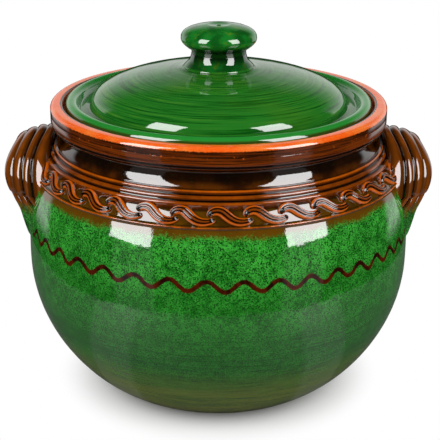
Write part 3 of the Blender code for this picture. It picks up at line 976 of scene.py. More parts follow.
class Marks:
    """The marks of a mesh that is being built, kept beside its points."""

    def __init__(self) -> None:
        """Starts with no points."""
        self.points: list[tuple] = []
        self.rows: dict[Mark, list[float]] = {mark: [] for mark in Mark}

    def add(self, point: tuple, pool: float, run: float = 0.0, inside: float = 0.0) -> int:
        """Adds a point with its marks.

        Args:
            point: The place.
            pool: How deep it lies, from -1 on a ridge to 1 in a groove.
            run: How far along the outline or the scroll, or across the strap, it is.
            inside: 1 inside the pot.

        Returns:
            The point's number.
        """
        self.points.append(tuple(point))
        for mark, value in ((Mark.POOL, pool), (Mark.RUN, run), (Mark.INSIDE, inside)):
            self.rows[mark].append(value)
        return len(self.points) - 1

    def mesh(self, name: str, faces: list[tuple]) -> bpy.types.Mesh:
        """The smooth mesh of these points.

        Args:
            name: The mesh's name.
            faces: The faces, as numbers of points.

        Returns:
            The mesh, with its marks stored as attributes.
        """
        mesh = bpy.data.meshes.new(name)
        mesh.from_pydata(self.points, [], faces)
        for mark, values in self.rows.items():
            mesh.attributes.new(mark.value, "FLOAT", "POINT").data.foreach_set("value", values)
        mesh.shade_smooth()
        mesh.validate()
        return mesh


def glazed(graph: Graph, geometry: Socket, glaze: Socket) -> Socket:
    """The end of a Geometry Nodes tree: its copies made real, with their material.

    Args:
        graph: The tree's graph.
        geometry: The geometry so far.
        glaze: The material, as a socket.

    Returns:
        The finished geometry.
    """
    solid = graph.node("GeometryNodeRealizeInstances", {"Geometry": geometry}).outputs[0]
    values = {"Geometry": solid, "Material": glaze}
    return graph.node("GeometryNodeSetMaterial", values).outputs[0]


def placed(name: str, data: bpy.types.ID) -> bpy.types.Object:
    """A new object in the scene, at the origin.

    Args:
        name: Its name.
        data: Its mesh, lamp or camera.

    Returns:
        The object.
    """
    made = bpy.data.objects.new(name, data)
    bpy.context.scene.collection.objects.link(made)
    return made


def face_outward(mesh: bpy.types.Mesh) -> None:
    """Turns the faces of a closed mesh outwards.

    Args:
        mesh: The mesh, which is changed.
    """
    shaped = bmesh.new()
    shaped.from_mesh(mesh)
    bmesh.ops.recalc_face_normals(shaped, faces=shaped.faces)
    shaped.to_mesh(mesh)
    shaped.free()


class Throwing:
    """The Geometry Nodes tree that gives a turned piece the marks of the potter's wheel."""

    def __init__(self) -> None:
        """Builds the tree: rings along the outline, and a slow wobble of the whole wall."""
        takes = {"Geometry": "Geometry", "Ring Depth": "Float", "Ring Pitch": "Float"}
        takes |= {"Wobble": "Float", "Seed": "Float", "Calm Radius": "Float", "Glaze": "Material"}
        gives = {"Geometry": "Geometry"}
        graph, given, result = new_group("GeometryNodeTree", "throwing_marks", takes, gives)
        place = graph.node("GeometryNodeInputPosition").outputs[0]
        normal = graph.node("GeometryNodeInputNormal").outputs[0]
        name = {"Name": Mark.RUN.value}
        run = graph.node("GeometryNodeInputNamedAttribute", name, data_type="FLOAT").outputs[0]
        east, north, radius, _ = graph.wheel(place)
        along = graph.math("ADD", graph.math("DIVIDE", run, given["Ring Pitch"]), given["Seed"])
        near = graph.math("MULTIPLY", east, RING_DRIFT)
        side = graph.math("MULTIPLY", north, RING_DRIFT)
        ring = graph.math("SUBTRACT", graph.noise(graph.vector(near, side, along), 1.0, 2.0), 0.5)
        slow = graph.math("MULTIPLY_ADD", run, WOBBLE_RATE, given["Seed"])
        wobble = graph.math("SUBTRACT", graph.noise(graph.vector(near, side, slow), 1.0, 1.0), 0.5)
        depth = graph.math("MULTIPLY", ring, given["Ring Depth"])
        depth = graph.math("MULTIPLY_ADD", wobble, given["Wobble"], depth)
        calm = graph.step(radius, graph.math("MULTIPLY", given["Calm Radius"], 0.5), given["Calm Radius"])
        push = graph.node("ShaderNodeVectorMath", {0: normal}, operation="SCALE")
        graph.feed(push.inputs["Scale"], graph.math("MULTIPLY", depth, calm))
        values = {"Geometry": given["Geometry"], "Offset": push.outputs[0]}
        moved = graph.node("GeometryNodeSetPosition", values).outputs[0]
        graph.feed(result["Geometry"], glazed(graph, moved, given["Glaze"]))
        self.tree = graph.tree


def grow(name: str, mesh: bpy.types.Mesh, tree: bpy.types.NodeTree, values: dict) -> bpy.types.Object:
    """Runs a Geometry Nodes tree on a mesh and keeps the result as a plain mesh.

    Args:
        name: The finished piece's name.
        mesh: What the tree starts from.
        tree: The tree.
        values: The tree's inputs by name.

    Returns:
        The finished piece, with no modifier.
    """
    seed = placed(name + "_seed", mesh)
    modifier = seed.modifiers.new("Grow", "NODES")
    modifier.node_group = tree
    for socket in tree.interface.items_tree:
        if socket.item_type == "SOCKET" and socket.name in values:
            modifier[socket.identifier] = values[socket.name]
    bpy.context.view_layer.update()
    graph = bpy.context.evaluated_depsgraph_get()
    made = bpy.data.meshes.new_from_object(seed.evaluated_get(graph))
    bpy.data.objects.remove(seed, do_unlink=True)
    made.name = name
    return placed(name, made)


def declare(piece: bpy.types.Object, body: Body, slot: Slot, *nodes: str) -> None:
    """Puts a finished piece in the place of its CAD nodes and reports it.

    Args:
        piece: The finished piece.
        body: The body that it rides on.
        slot: Not used.
        nodes: The CAD nodes that it stands for.
    """
    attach(piece, body.value)
    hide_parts(*nodes)
    log.info("%s stands for %d node(s), %d faces", piece.name, len(nodes), len(piece.data.polygons))


@dataclass
class Turned:
    """A piece turned on the wheel from an outline of radii and heights."""

    name: str
    steps: int
    # The throwing rings and the wall's wobble, which fade out within the calm radius
    ring_depth: float
    ring_pitch: float
    wobble: float
    seed: float
    calm_radius: float = 0.006
    # How far apart the outline's points are, and how far or how much bent the kept ones may be
    fine: float = 0.00030
    widest: float = 0.0030
    sharpest: float = math.radians(6)
    # How far a runny glaze levels out, and the depth of a groove that it fills
    pool_reach: float = 0.0013
    pool_depth: float = 0.00042

    def outline(self) -> tuple[np.ndarray, float]:
        """The outline, evenly divided, and how far along it the inside ends."""
        raise NotImplementedError

    def _pools(self, line: np.ndarray) -> np.ndarray:
        """How deep each place lies under its surroundings, from -1 on a ridge to 1 in a groove.

        Args:
            line: The outline's points.

        Returns:
            One depth for each point.
        """
        reach = max(int(self.pool_reach / self.fine), 1)
        kernel = np.hanning(2 * reach + 3)[1:-1]
        kernel /= kernel.sum()
        padded = np.vstack([np.repeat(line[:1], reach, 0), line, np.repeat(line[-1:], reach, 0)])
        around = np.column_stack([np.convolve(padded[:, k], kernel, "valid") for k in (0, 1)])
        ahead = np.gradient(line, axis=0)
        ahead /= np.maximum(np.linalg.norm(ahead, axis=1, keepdims=True), TINY)
        out = np.column_stack([-ahead[:, 1], ahead[:, 0]])
        return np.clip(((around - line) * out).sum(1) / self.pool_depth, -1, 1)

    def _rows(self, line: np.ndarray) -> list[int]:
        """The outline's points that are kept: close together only where it bends.

        Args:
            line: The outline's points.

        Returns:
            The numbers of the kept points.
        """
        ahead = np.diff(line, axis=0)
        heading = np.unwrap(np.arctan2(ahead[:, 1], ahead[:, 0]))
        lengths = np.linalg.norm(ahead, axis=1)
        kept, gone = [0], 0.0
        for i in range(1, len(line) - 1):
            gone += lengths[i - 1]
            bend = abs(heading[i] - heading[kept[-1]])
            if gone >= self.widest or bend >= self.sharpest:
                kept.append(i)
                gone = 0.0
        return kept + [len(line) - 1]

    def blank(self) -> bpy.types.Mesh:
        """The turned mesh before its throwing marks, closed at both poles.

        Returns:
            The mesh.
        """
        line, inner_end = self.outline()
        runs = np.concatenate([[0.0], np.cumsum(np.linalg.norm(np.diff(line, axis=0), axis=1))])
        pools = self._pools(line)
        marks = Marks()
        faces, before = [], []
        for i in self._rows(line):
            radius, height = line[i]
            about = (float(pools[i]), float(runs[i]), float(runs[i] < inner_end))
            count = 1 if radius < POLE else self.steps
            turns = [2 * math.pi * k / self.steps for k in range(count)]
            places = [(radius * math.cos(t), radius * math.sin(t), height) for t in turns]
            if count == 1:
                places = [(0.0, 0.0, height)]
            ring = [marks.add(place, *about) for place in places]
            faces += self._strip(before, ring)
            before = ring
        return marks.mesh(self.name, faces)

    def _strip(self, upper: list[int], lower: list[int]) -> list[tuple]:
        """The faces between two rings, or between a ring and a pole.

        Args:
            upper: The numbers of one ring's points, or of the pole's.
            lower: Those of the ring or the pole after it.

        Returns:
            The faces.
        """
        faces = []
        for k in range(self.steps if upper else 0):
            after = (k + 1) % self.steps
            if len(upper) == 1 and len(lower) > 1:
                faces.append((upper[0], lower[k], lower[after]))
            elif len(lower) == 1 and len(upper) > 1:
                faces.append((upper[k], lower[0], upper[after]))
            elif len(upper) > 1:
                faces.append((upper[k], lower[k], lower[after], upper[after]))
        return faces

    def build(self, throwing: Throwing, glaze: bpy.types.Material) -> bpy.types.Object:
        """The finished piece, thrown and glazed.

        Args:
            throwing: The tree with the marks of the wheel.
            glaze: The piece's material.

        Returns:
            The finished piece.
        """
        values = {"Ring Depth": self.ring_depth, "Ring Pitch": self.ring_pitch, "Wobble": self.wobble}
        values |= {"Seed": self.seed, "Calm Radius": self.calm_radius, "Glaze": glaze}
        return grow(self.name, self.blank(), throwing.tree, values)


@dataclass
class Pot(Turned):
    """The pot's body, from the middle of its floor over the rim to the middle of its base."""

    name: str = "thrown_pot"
    steps: int = 256
    ring_depth: float = 0.00016
    ring_pitch: float = 0.0042
    wobble: float = 0.0006
    seed: float = 3.0
    height: float = 0.1845
    foot_radius: float = 0.0636
    foot_edge: float = 0.0012
    belly_radius: float = 0.1202
    belly_height: float = 0.0873
    belly_power: float = 0.73
    shoulder_power: float = 2.8
    wall: float = 0.0070
    floor: float = 0.0080
    band_radius: float = 0.1128
    band_height: float = 0.1425
    band_rise: float = 0.0086
    band_draw_in: float = 0.0058
    low_ridge: float = 0.0011
    ridge_blend: float = 0.0012
    rim_radius: float = 0.1040
    rim_height: float = 0.0131
    rim_wall: float = 0.0076
    rim_shoulder: float = 0.0027
    rim_edge: float = 0.0009
    rim_undercut: float = 0.0012
    rim_line_drop: float = 0.0059
    rim_line_depth: float = 0.00012
    rim_step_drop: float = 0.0106
    rim_step_depth: float = 0.0006
    rim_step_start: float = 0.0004
    rim_step_chamfer: float = 0.0001
    rim_step_foot: float = 0.0003
    rim_step_end: float = 0.0008
    ledge_depth: float = 0.0070
    ledge_width: float = 0.0056
    # The neck's grooves and the cove over them, as radii and heights
    grooves: tuple = ((0.1071, 0.1512), (0.1046, 0.1538), (0.1022, 0.1567), (0.1004, 0.1594))
    ridge_swell: float = 0.0004
    groove_depth: float = 0.0013
    groove_width: float = 0.00080
    groove_fine: float = 0.00030
    cove: tuple = (
        (0.1006, 0.1601),
        (0.0999, 0.1611),
        (0.0990, 0.1630),
        (0.0984, 0.1655),
        (0.0983, 0.1680),
        (0.0988, 0.1701),
    )

    def belly(self, height: float) -> float:
        """The outer radius at a height between the foot and the band.

        Args:
            height: The height above the base.

        Returns:
            The radius.
        """
        if height <= self.belly_height:
            below = (self.belly_height - height) / self.belly_height
            swell = max(1 - below**2, 0.0) ** self.belly_power
            return self.foot_radius + (self.belly_radius - self.foot_radius) * swell
        above = (height - self.belly_height) / (self.band_height - self.belly_height)
        return self.belly_radius - (self.belly_radius - self.band_radius) * above**self.shoulder_power

    def on_band(self, angle: float, up: float) -> Vector:
        """A place on the sloping band, by its angle from the front and its share of the slope.

        Args:
            angle: The angle from the front, in radians.
            up: The share of the slope, from 0 at the band's foot.

        Returns:
            The place.
        """
        radius = self.band_radius - self.band_draw_in * up
        height = self.band_height + self.band_rise * up
        return Vector((radius * math.sin(angle), -radius * math.cos(angle), height))

    def _inner(self) -> list[np.ndarray]:
        """The inside, from the middle of the floor up to the gallery.

        Returns:
            The stretches of the outline, in order.
        """
        ledge = self.height - self.ledge_depth
        bore = self.rim_radius - self.rim_wall - self.ledge_width
        low = self.floor + self.wall
        shoulder = self.band_height + self.band_rise
        wall = [(self.belly(self.floor) - 2.0 * self.wall, self.floor)]
        for share in (0.0, 0.10, 0.24, 0.42, 0.62, 0.82):
            height = low + (self.belly_height - low) * share
            wall.append((self.belly(height) - self.wall * (1 + 0.6 * (1 - share) ** 2), height))
        for share in (0.0, 0.30, 0.58, 0.80, 0.95):
            height = self.belly_height + (self.band_height - self.belly_height) * share
            wall.append((self.belly(height) - self.wall * (1 + 0.25 * share), height))
        wall.append((bore + (self.band_radius - self.wall - bore) * 0.42, shoulder))
        wall.append((bore, shoulder + (ledge - shoulder) * 0.30))
        wall.append((bore, ledge - self.rim_edge))
        lip = arc((bore + self.rim_edge, ledge - self.rim_edge), self.rim_edge, self.rim_edge, 180, 90, 6)
        seat = [(bore + self.rim_edge, ledge), (self.rim_radius - self.rim_wall, ledge)]
        return [
            smooth_line([(0.0, self.floor), wall[0]], self.fine),
            smooth_line(wall, self.fine),
            smooth_line(lip, self.fine),
            smooth_line(seat, self.fine),
        ]

    def _rim(self) -> list[np.ndarray]:
        """The rim, over its top and down to its lower edge.

        Returns:
            The stretches of the outline, in order.
        """
        inner = self.rim_radius - self.rim_wall
        top, edge, out = self.height, self.rim_edge, self.rim_radius
        crown = (out - self.rim_shoulder, top - self.rim_shoulder)
        low = top - self.rim_height
        ledge = [(inner, top - self.ledge_depth), (inner, top - edge)]
        over = arc((inner + edge, top - edge), edge, edge, 180, 90, 6)
        shoulder = arc(crown, self.rim_shoulder, self.rim_shoulder, 90, 0, 12)
        face = [shoulder[-1]]
        line, depth = top - self.rim_line_drop, self.rim_line_depth
        face += [(out, line + 3 * depth), (out - depth, line), (out, line - 3 * depth)]
        step, back = top - self.rim_step_drop, out - self.rim_step_depth
        face += [(out, step + self.rim_step_start), (out - self.rim_step_chamfer, step)]
        face += [(back, step - self.rim_step_foot), (back, step - self.rim_step_end)]
        turn = self.rim_undercut
        face += arc((back - turn, low + turn), turn, turn, -10, -100, 6)
        face.append(self.cove[-1])
        return [smooth_line(part, self.fine) for part in (ledge, over, shoulder, face)]

    def _neck(self) -> list[np.ndarray]:
        """The smooth cove under the rim, and the ridges below it with a round groove over each.

        Returns:
            The stretches of the outline, in order.
        """
        cove = smooth_line(list(reversed(self.cove)) + [self.grooves[-1]], self.fine)
        centres = np.array(list(reversed(self.grooves)))
        gone = np.concatenate([[0.0], np.cumsum(np.linalg.norm(np.diff(centres, axis=0), axis=1))])
        along = np.arange(0.0, gone[-1], self.groove_fine)
        base = np.column_stack([np.interp(along, gone, centres[:, k]) for k in (0, 1)])
        ahead = centres[-1] - centres[0]
        ahead /= np.linalg.norm(ahead)
        out = np.array([-ahead[1], ahead[0]])
        near = np.array([np.abs(gone - place).min() for place in along])
        cut = np.exp(-((near / self.groove_width) ** 2))
        spans = np.searchsorted(gone, along, side="right") - 1
        share = (along - gone[spans]) / np.diff(gone)[spans]
        rise = self.groove_depth * (1 - cut) + self.ridge_swell * np.sin(np.pi * share)
        return [cove, base + out * rise[:, None]]

    def _band(self) -> list[np.ndarray]:
        """The sloping band, and the ridge at its foot.

        Returns:
            The stretches of the outline, in order.
        """
        top = (self.band_radius - self.band_draw_in, self.band_height + self.band_rise)
        foot = (self.band_radius, self.band_height)
        ridge = self.band_height - self.low_ridge
        crest = (self.belly(ridge) + self.low_ridge * 0.85, ridge + self.low_ridge / 3)
        under = ridge - self.low_ridge
        low = [foot, crest, (self.belly(under) + self.low_ridge * 0.10, under)]
        end = under - self.ridge_blend
        low.append((self.belly(end), end))
        return [smooth_line([self.grooves[0], top, foot], self.fine), smooth_line(low, self.fine)]

    def _belly(self) -> np.ndarray:
        """The belly, from under the band's ridge down to the foot.

        Returns:
            The outline's points.
        """
        start = self.band_height - 2 * self.low_ridge - self.ridge_blend
        heights = [self.belly_height + (start - self.belly_height) * s for s in np.linspace(1, 0, 16)]
        turns = np.radians(np.concatenate([np.arange(3, 80, 3), [81, 83, 84.5]]))
        heights += [self.belly_height * (1 - math.sin(t)) for t in turns]
        points = [(self.belly(h), h) for h in heights]
        points.append((self.foot_radius + self.foot_edge, self.foot_edge / 4))
        points.append((self.foot_radius, 0.0))
        return smooth_line(points, self.fine)

    def outline(self) -> tuple[np.ndarray, float]:
        """The whole outline, and where the inside ends on it.

        Returns:
            The outline's points, and the length of its inside.
        """
        inner = self._inner()
        outer = self._rim() + self._neck() + self._band() + [self._belly()]
        base = smooth_line([(self.foot_radius, 0.0), (0.0, 0.0)], self.fine)
        line = np.vstack(inner + outer + [base])
        inside = np.vstack(inner)
        length = float(np.linalg.norm(np.diff(inside, axis=0), axis=1).sum())
        return distinct(line), length


@dataclass
class Lid(Turned):
    """The lid's shell: a flare at the knob, a dome, a channel and a rolled rim, hollow underneath."""

    name: str = "thrown_lid"
    steps: int = 256
    ring_depth: float = 0.00026
    ring_pitch: float = 0.0026
    wobble: float = 0.0004
    seed: float = 11.0
    calm_radius: float = 0.034
    pot: Pot = field(default_factory=Pot)
    play: float = 0.0018
    rise: float = 0.0022
    wall: float = 0.0058
    roll: float = 0.0078
    channel_depth: float = 0.0058
    channel_width: float = 0.0064
    channel_turn: float = 0.0014
    channel_sag: float = 0.0001
    dome_height: float = 0.0240
    dome_power: float = 2.5
    dome_spread: float = 1.6
    dome_start: float = 0.0012
    boss_height: float = 0.0068
    # The flare round the knob's stem: how far out from it and how far above the boss it passes
    flare: tuple = (
        (0.0000, 0.0010),
        (0.00005, 0.0004),
        (0.0002, -0.0003),
        (0.0005, -0.0013),
        (0.0009, -0.0023),
        (0.0014, -0.0032),
        (0.0021, -0.0041),
        (0.0029, -0.0049),
        (0.0037, -0.0057),
        (0.0044, -0.0065),
        (0.0047, -0.0071),
        (0.0046, -0.0076),
        (0.0046, -0.0080),
        (0.0051, -0.00805),
        (0.0058, -0.00790),
    )
    stem_radius: float = 0.0169
    plug_play: float = 0.0012
    plug_rise: float = 0.0014
    locating_play: float = 0.0014
    hollow_turn: float = 0.001
    seat_gap: float = 0.0003

    def outer(self) -> float:
        """The lid's outer radius."""
        return self.pot.rim_radius - self.pot.rim_wall - self.play

    def dome_radius(self) -> float:
        """The radius at which the dome meets the channel."""
        return self.outer() - self.roll - self.channel_width

    def dome_foot(self) -> float:
        """The height at which the dome starts."""
        return self.pot.height + self.rise - self.channel_depth + self.pot.rim_edge

    def boss_top(self) -> float:
        """The height of the boss under the knob."""
        return self.dome_foot() + self.dome_height + self.boss_height

    def plug(self) -> Pair:
        """The edge of the plug inside the knob's stem, as a radius and a height."""
        return self.stem_radius - self.plug_play, self.boss_top() + self.plug_rise

    def _upper(self) -> np.ndarray:
        """The upper side, from under the knob out to the rolled rim.

        Returns:
            The outline's points.
        """
        foot, top = self.dome_foot(), self.boss_top()
        turn = self.channel_turn
        dome = self.dome_radius() - turn
        points = [self.plug()]
        points += [(self.stem_radius + out, top + up) for out, up in self.flare]
        spread = points[-1][0] + self.dome_start
        start = math.degrees(math.acos((spread / dome) ** (self.dome_spread / 2)))
        for across, up in arc((0.0, 0.0), 1.0, 1.0, start, 4, 22):
            radius = dome * across ** (2 / self.dome_spread)
            points.append((radius, foot + self.dome_height * up ** (2 / self.dome_power)))
        inner = self.outer() - self.roll
        channel = self.pot.height + self.rise - self.channel_depth
        points += arc((dome + turn, channel + turn), turn * 0.98, turn, 195, 255, 5)
        for share in (0.40, 0.60, 0.80):
            points.append((dome + (inner - dome) * share, channel - self.channel_sag))
        crest = self.pot.height + self.rise
        half = self.roll / 2
        points += arc((inner + half, crest - half), half, half, 168, 0, 16)
        return smooth_line(points, self.fine)

    def _under(self) -> np.ndarray:
        """The outer wall, the seat, the locating step and the hollow underneath.

        Returns:
            The outline's points.
        """
        outer = self.outer()
        rest = self.pot.height - self.pot.ledge_depth + self.seat_gap
        edge = self.pot.rim_edge
        bore = self.pot.rim_radius - self.pot.rim_wall - self.pot.ledge_width
        locate = bore - self.locating_play
        under = self.pot.height + self.rise - self.channel_depth - self.wall
        hollow = self.dome_radius() - self.wall
        corner = arc((outer - edge, rest + edge), edge, edge, 0, -90, 5)
        lower = [(locate, rest), (locate, under + edge)]
        step = arc((locate - edge, under + edge), edge, edge, 0, -90, 5)
        dome = arc((0.0, self.dome_foot() - self.wall), hollow, self.dome_height, 10, 90, 24)
        parts = [[(outer, self.pot.height + self.rise - self.roll / 2), corner[0]], corner]
        bend = (hollow + self.hollow_turn, under)
        parts += [[corner[-1], lower[0]], lower, step, [step[-1], bend]]
        parts.append([bend, *dome[:-1], (0.0, dome[-1][1])])
        return np.vstack([smooth_line(part, self.fine) for part in parts])

    def outline(self) -> tuple[np.ndarray, float]:
        """The whole outline. The hollow is glazed like the rest, so it counts as outer wall.

        Returns:
            The outline's points, and -1 because it has no inside.
        """
        plug = self.plug()
        flat = smooth_line([(0.0, plug[1]), plug], self.fine)
        return distinct(np.vstack([flat, self._upper(), self._under()])), -1.0


@dataclass
class Knob(Turned):
    """The knob: a flattened ball on a waisted stem, with a nub in its dimple."""

    name: str = "turned_knob"
    steps: int = 160
    ring_depth: float = 0.00022
    ring_pitch: float = 0.0040
    wobble: float = 0.0
    seed: float = 23.0
    base: float = 0.2129
    sink: float = 0.0020
    stem_radius: float = 0.0170
    stem_height: float = 0.0033
    knob_radius: float = 0.0233
    under: float = 0.0066
    crown: float = 0.0083
    power: float = 2.5
    dimple_radius: float = 0.0062
    dimple_depth: float = 0.0006
    dimple_lip: float = 0.0003
    dimple_swell: float = 0.0001
    nub_radius: float = 0.0016
    nub_rise: float = 0.0004
    nub_edge: float = 0.0003
    waist_swell: float = 0.0002
    # The stem's end: where its taper starts above the base, and how far it is drawn in
    foot_rise: float = 0.0011
    foot_taper: tuple = (0.0003, 0.0005)

    def outline(self) -> tuple[np.ndarray, float]:
        """The outline from the nub over the crown and down the stem.

        Returns:
            The outline's points, and -1 because it has no inside.
        """
        wide = self.base + self.stem_height + self.under
        top = wide + self.crown
        dip = top - self.dimple_depth
        points = [(0.0, dip + self.nub_rise), (self.nub_radius * 0.6, dip + self.nub_edge)]
        points += [(self.nub_radius, dip), (self.dimple_radius * 0.55, dip + self.dimple_swell)]
        points += [(self.dimple_radius * 0.85, top - self.dimple_lip), (self.dimple_radius * 1.15, top)]
        for turn in (66, 58, 50, 42, 34, 26, 18, 10, 3):
            angle = math.radians(turn)
            across = math.cos(angle) ** (2 / self.power)
            above = math.sin(angle) ** (2 / self.power)
            points.append((self.knob_radius * across, wide + self.crown * above))
        stem = self.stem_radius + self.waist_swell
        for share in (0.06, 0.2, 0.35, 0.5, 0.65, 0.8, 0.92, 1.0):
            swell = math.cos(share * math.pi / 2) ** 0.85
            radius = stem + (self.knob_radius - stem) * swell
            points.append((radius, wide - self.under * share))
        foot = self.base - self.sink
        upper, lower = (self.stem_radius - taper for taper in self.foot_taper)
        points += [(upper, self.base + self.foot_rise), (lower, self.base), (lower, foot)]
        side = smooth_line(points, self.fine)
        base = smooth_line([points[-1], (0.0, foot)], self.fine)[1:]
        return np.vstack([side, base]), -1.0


@dataclass
class ScrollChain:
    """The chain of S-scrolls on the band: one scroll, repeated round the pot by Geometry Nodes."""

    pot: Pot
    count: int = 34
    width: float = 0.0052
    height: float = 0.0028
    sink: float = 0.0006
    start: float = -0.26
    middle: float = 0.55
    stations: int = 54
    across: int = 20
    groove_place: float = 0.36
    groove_width: float = 0.11
    groove_depth: float = 0.36
    edge_place: float = 0.80
    edge_width: float = 0.17
    pit_place: float = 0.0014
    pit_size: float = 0.0010
    pit_width: float = 0.55
    pit_depth: float = 0.1
    cap_share: float = 0.42
    stray: float = math.radians(0.22)
    seed: int = 7
    # How much glaze pools on the top, and how much more or less on the edges, grooves and pit
    pool: float = 0.10
    edge_pool: float = -1.1
    groove_pool: float = 1.3
    pit_pool: float = 3.4
    # The middle line: shares of the pitch along the band and of the slope up it, and of the width
    shares: tuple = (
        (0.010, -0.060, 0.70),
        (0.035, 0.110, 0.86),
        (0.120, 0.240, 0.98),
        (0.235, 0.275, 1.06),
        (0.350, 0.215, 1.12),
        (0.450, 0.070, 1.14),
        (0.550, -0.100, 1.12),
        (0.665, -0.250, 1.06),
        (0.790, -0.335, 0.98),
        (0.910, -0.350, 0.88),
        (1.020, -0.320, 0.78),
        (1.110, -0.245, 0.68),
        (1.170, -0.150, 0.58),
    )

    def _path(self) -> list[tuple[Vector, float, float]]:
        """The scroll's middle line: places on the band, width shares and distances from the start.

        Returns:
            A row for each section.
        """
        pitch = 2 * math.pi / self.count
        path, gone, before = [], 0.0, None
        for along, up, wide in read_evenly(self.shares, self.stations):
            place = self.pot.on_band((self.start + along) * pitch, self.middle + up)
            gone += (place - before).length if before else 0.0
            path.append((place, wide, gone))
            before = place
        return path

    def blank(self) -> bpy.types.Mesh:
        """One scroll, rounded at its ends, with two grooves along it and a pit in its head.

        Returns:
            The mesh.
        """
        path = self._path()
        length = path[-1][2]
        marks = Marks()
        faces, before = [], []
        for i, (place, wide, gone) in enumerate(path):
            ahead = (path[min(i + 1, len(path) - 1)][0] - path[max(i - 1, 0)][0]).normalized()
            angle = math.atan2(place.x, -place.y)
            up = self.pot.on_band(angle, 1.0) - self.pot.on_band(angle, 0.0)
            around = Vector((-place.y, place.x, 0.0)).normalized()
            out = around.cross(up.normalized()) * -1.0
            out = out if out.dot(Vector((place.x, place.y, 0.0))) > 0 else -out
            side = out.cross(ahead).normalized()
            end = min(gone, length - gone)
            cap = min(end / (self.width * self.cap_share), 1.0)
            shrink = math.sqrt(1 - (1 - cap) ** 2)
            size = (wide * (0.25 + 0.75 * shrink), shrink)
            ring = self._ring(marks, (place, side, out), size, gone, end)
            if before:
                faces += zip(before, ring, ring[1:] + ring[:1], before[1:] + before[:1])
            else:
                faces.append(tuple(ring))
            before = ring
        faces.append(tuple(reversed(before)))
        mesh = marks.mesh("scroll", faces)
        face_outward(mesh)
        return mesh

    def _ring(self, marks: Marks, axes: tuple, size: Pair, gone: float, end: float) -> list[int]:
        """One section of the scroll: its ridged top, and its base inside the band.

        Args:
            marks: The mesh's points and their marks.
            axes: The section's middle, and the directions across it and out.
            size: The shares of the width and of the height.
            gone: The distance from the scroll's start.
            end: The distance from its nearer end.

        Returns:
            The numbers of the section's points.
        """
        place, side, out = axes
        wide, tall = size
        half = self.width * wide / 2
        near = (end - self.pit_place) / self.pit_size
        ring = []
        for k in range(self.across + 1):
            share = math.cos(math.pi * k / self.across)
            groove = math.exp(-(((abs(share) - self.groove_place) / self.groove_width) ** 2))
            pit = math.exp(-(near**2) - (share / self.pit_width) ** 2)
            dome = math.sqrt(max(1 - share**2, 0.0)) ** 0.9
            rise = self.height * tall * wide**0.5 * dome
            rise *= (1 - self.groove_depth * groove) * (1 - self.pit_depth * pit)
            edge = math.exp(-(((abs(share) - self.edge_place) / self.edge_width) ** 2))
            pool = self.pool + self.edge_pool * edge + self.groove_pool * groove
            pool += self.pit_pool * pit
            spot = place + side * half * share + out * rise
            ring.append(marks.add(spot, min(max(pool, -1.0), 1.0), gone))
        for share in (-0.8, 0.0, 0.8):
            ring.append(marks.add(place + side * half * share - out * self.sink, 1.0, gone))
        return ring

    def _tree(self) -> bpy.types.NodeTree:
        """The tree that sets the scroll round the pot, each a little off its place as a hand sets it.

        Returns:
            The tree.
        """
        takes = {"Geometry": "Geometry", "Count": "Int", "Pitch": "Float", "Stray": "Float"}
        takes |= {"Seed": "Int", "Glaze": "Material"}
        gives = {"Geometry": "Geometry"}
        graph, given, result = new_group("GeometryNodeTree", "scroll_chain", takes, gives)
        places = graph.node("GeometryNodePoints", {"Count": given["Count"]})
        number = graph.node("GeometryNodeInputIndex").outputs[0]
        stray = graph.node("FunctionNodeRandomValue", data_type="FLOAT")
        for name, value in (("Min", -1.0), ("Max", 1.0)):
            [s for s in stray.inputs if s.name == name and s.enabled][0].default_value = value
        graph.feed([s for s in stray.inputs if s.name == "Seed"][0], given["Seed"])
        off = [s for s in stray.outputs if s.enabled][0]
        turn = graph.math("MULTIPLY", number, given["Pitch"])
        turn = graph.math("MULTIPLY_ADD", off, given["Stray"], turn)
        values = {"Points": places.outputs[0], "Instance": given["Geometry"]}
        values |= {"Rotation": graph.vector(0.0, 0.0, turn)}
        copies = graph.node("GeometryNodeInstanceOnPoints", values)
        graph.feed(result["Geometry"], glazed(graph, copies.outputs[0], given["Glaze"]))
        return graph.tree

    def build(self, glaze: bpy.types.Material) -> bpy.types.Object:
        """The whole chain as one mesh.

        Args:
            glaze: The piece's material.

        Returns:
            The finished piece.
        """
        values = {"Count": self.count, "Pitch": 2 * math.pi / self.count, "Stray": self.stray}
        values |= {"Seed": self.seed, "Glaze": glaze}
        return grow("scroll_chain", self.blank(), self._tree(), values)


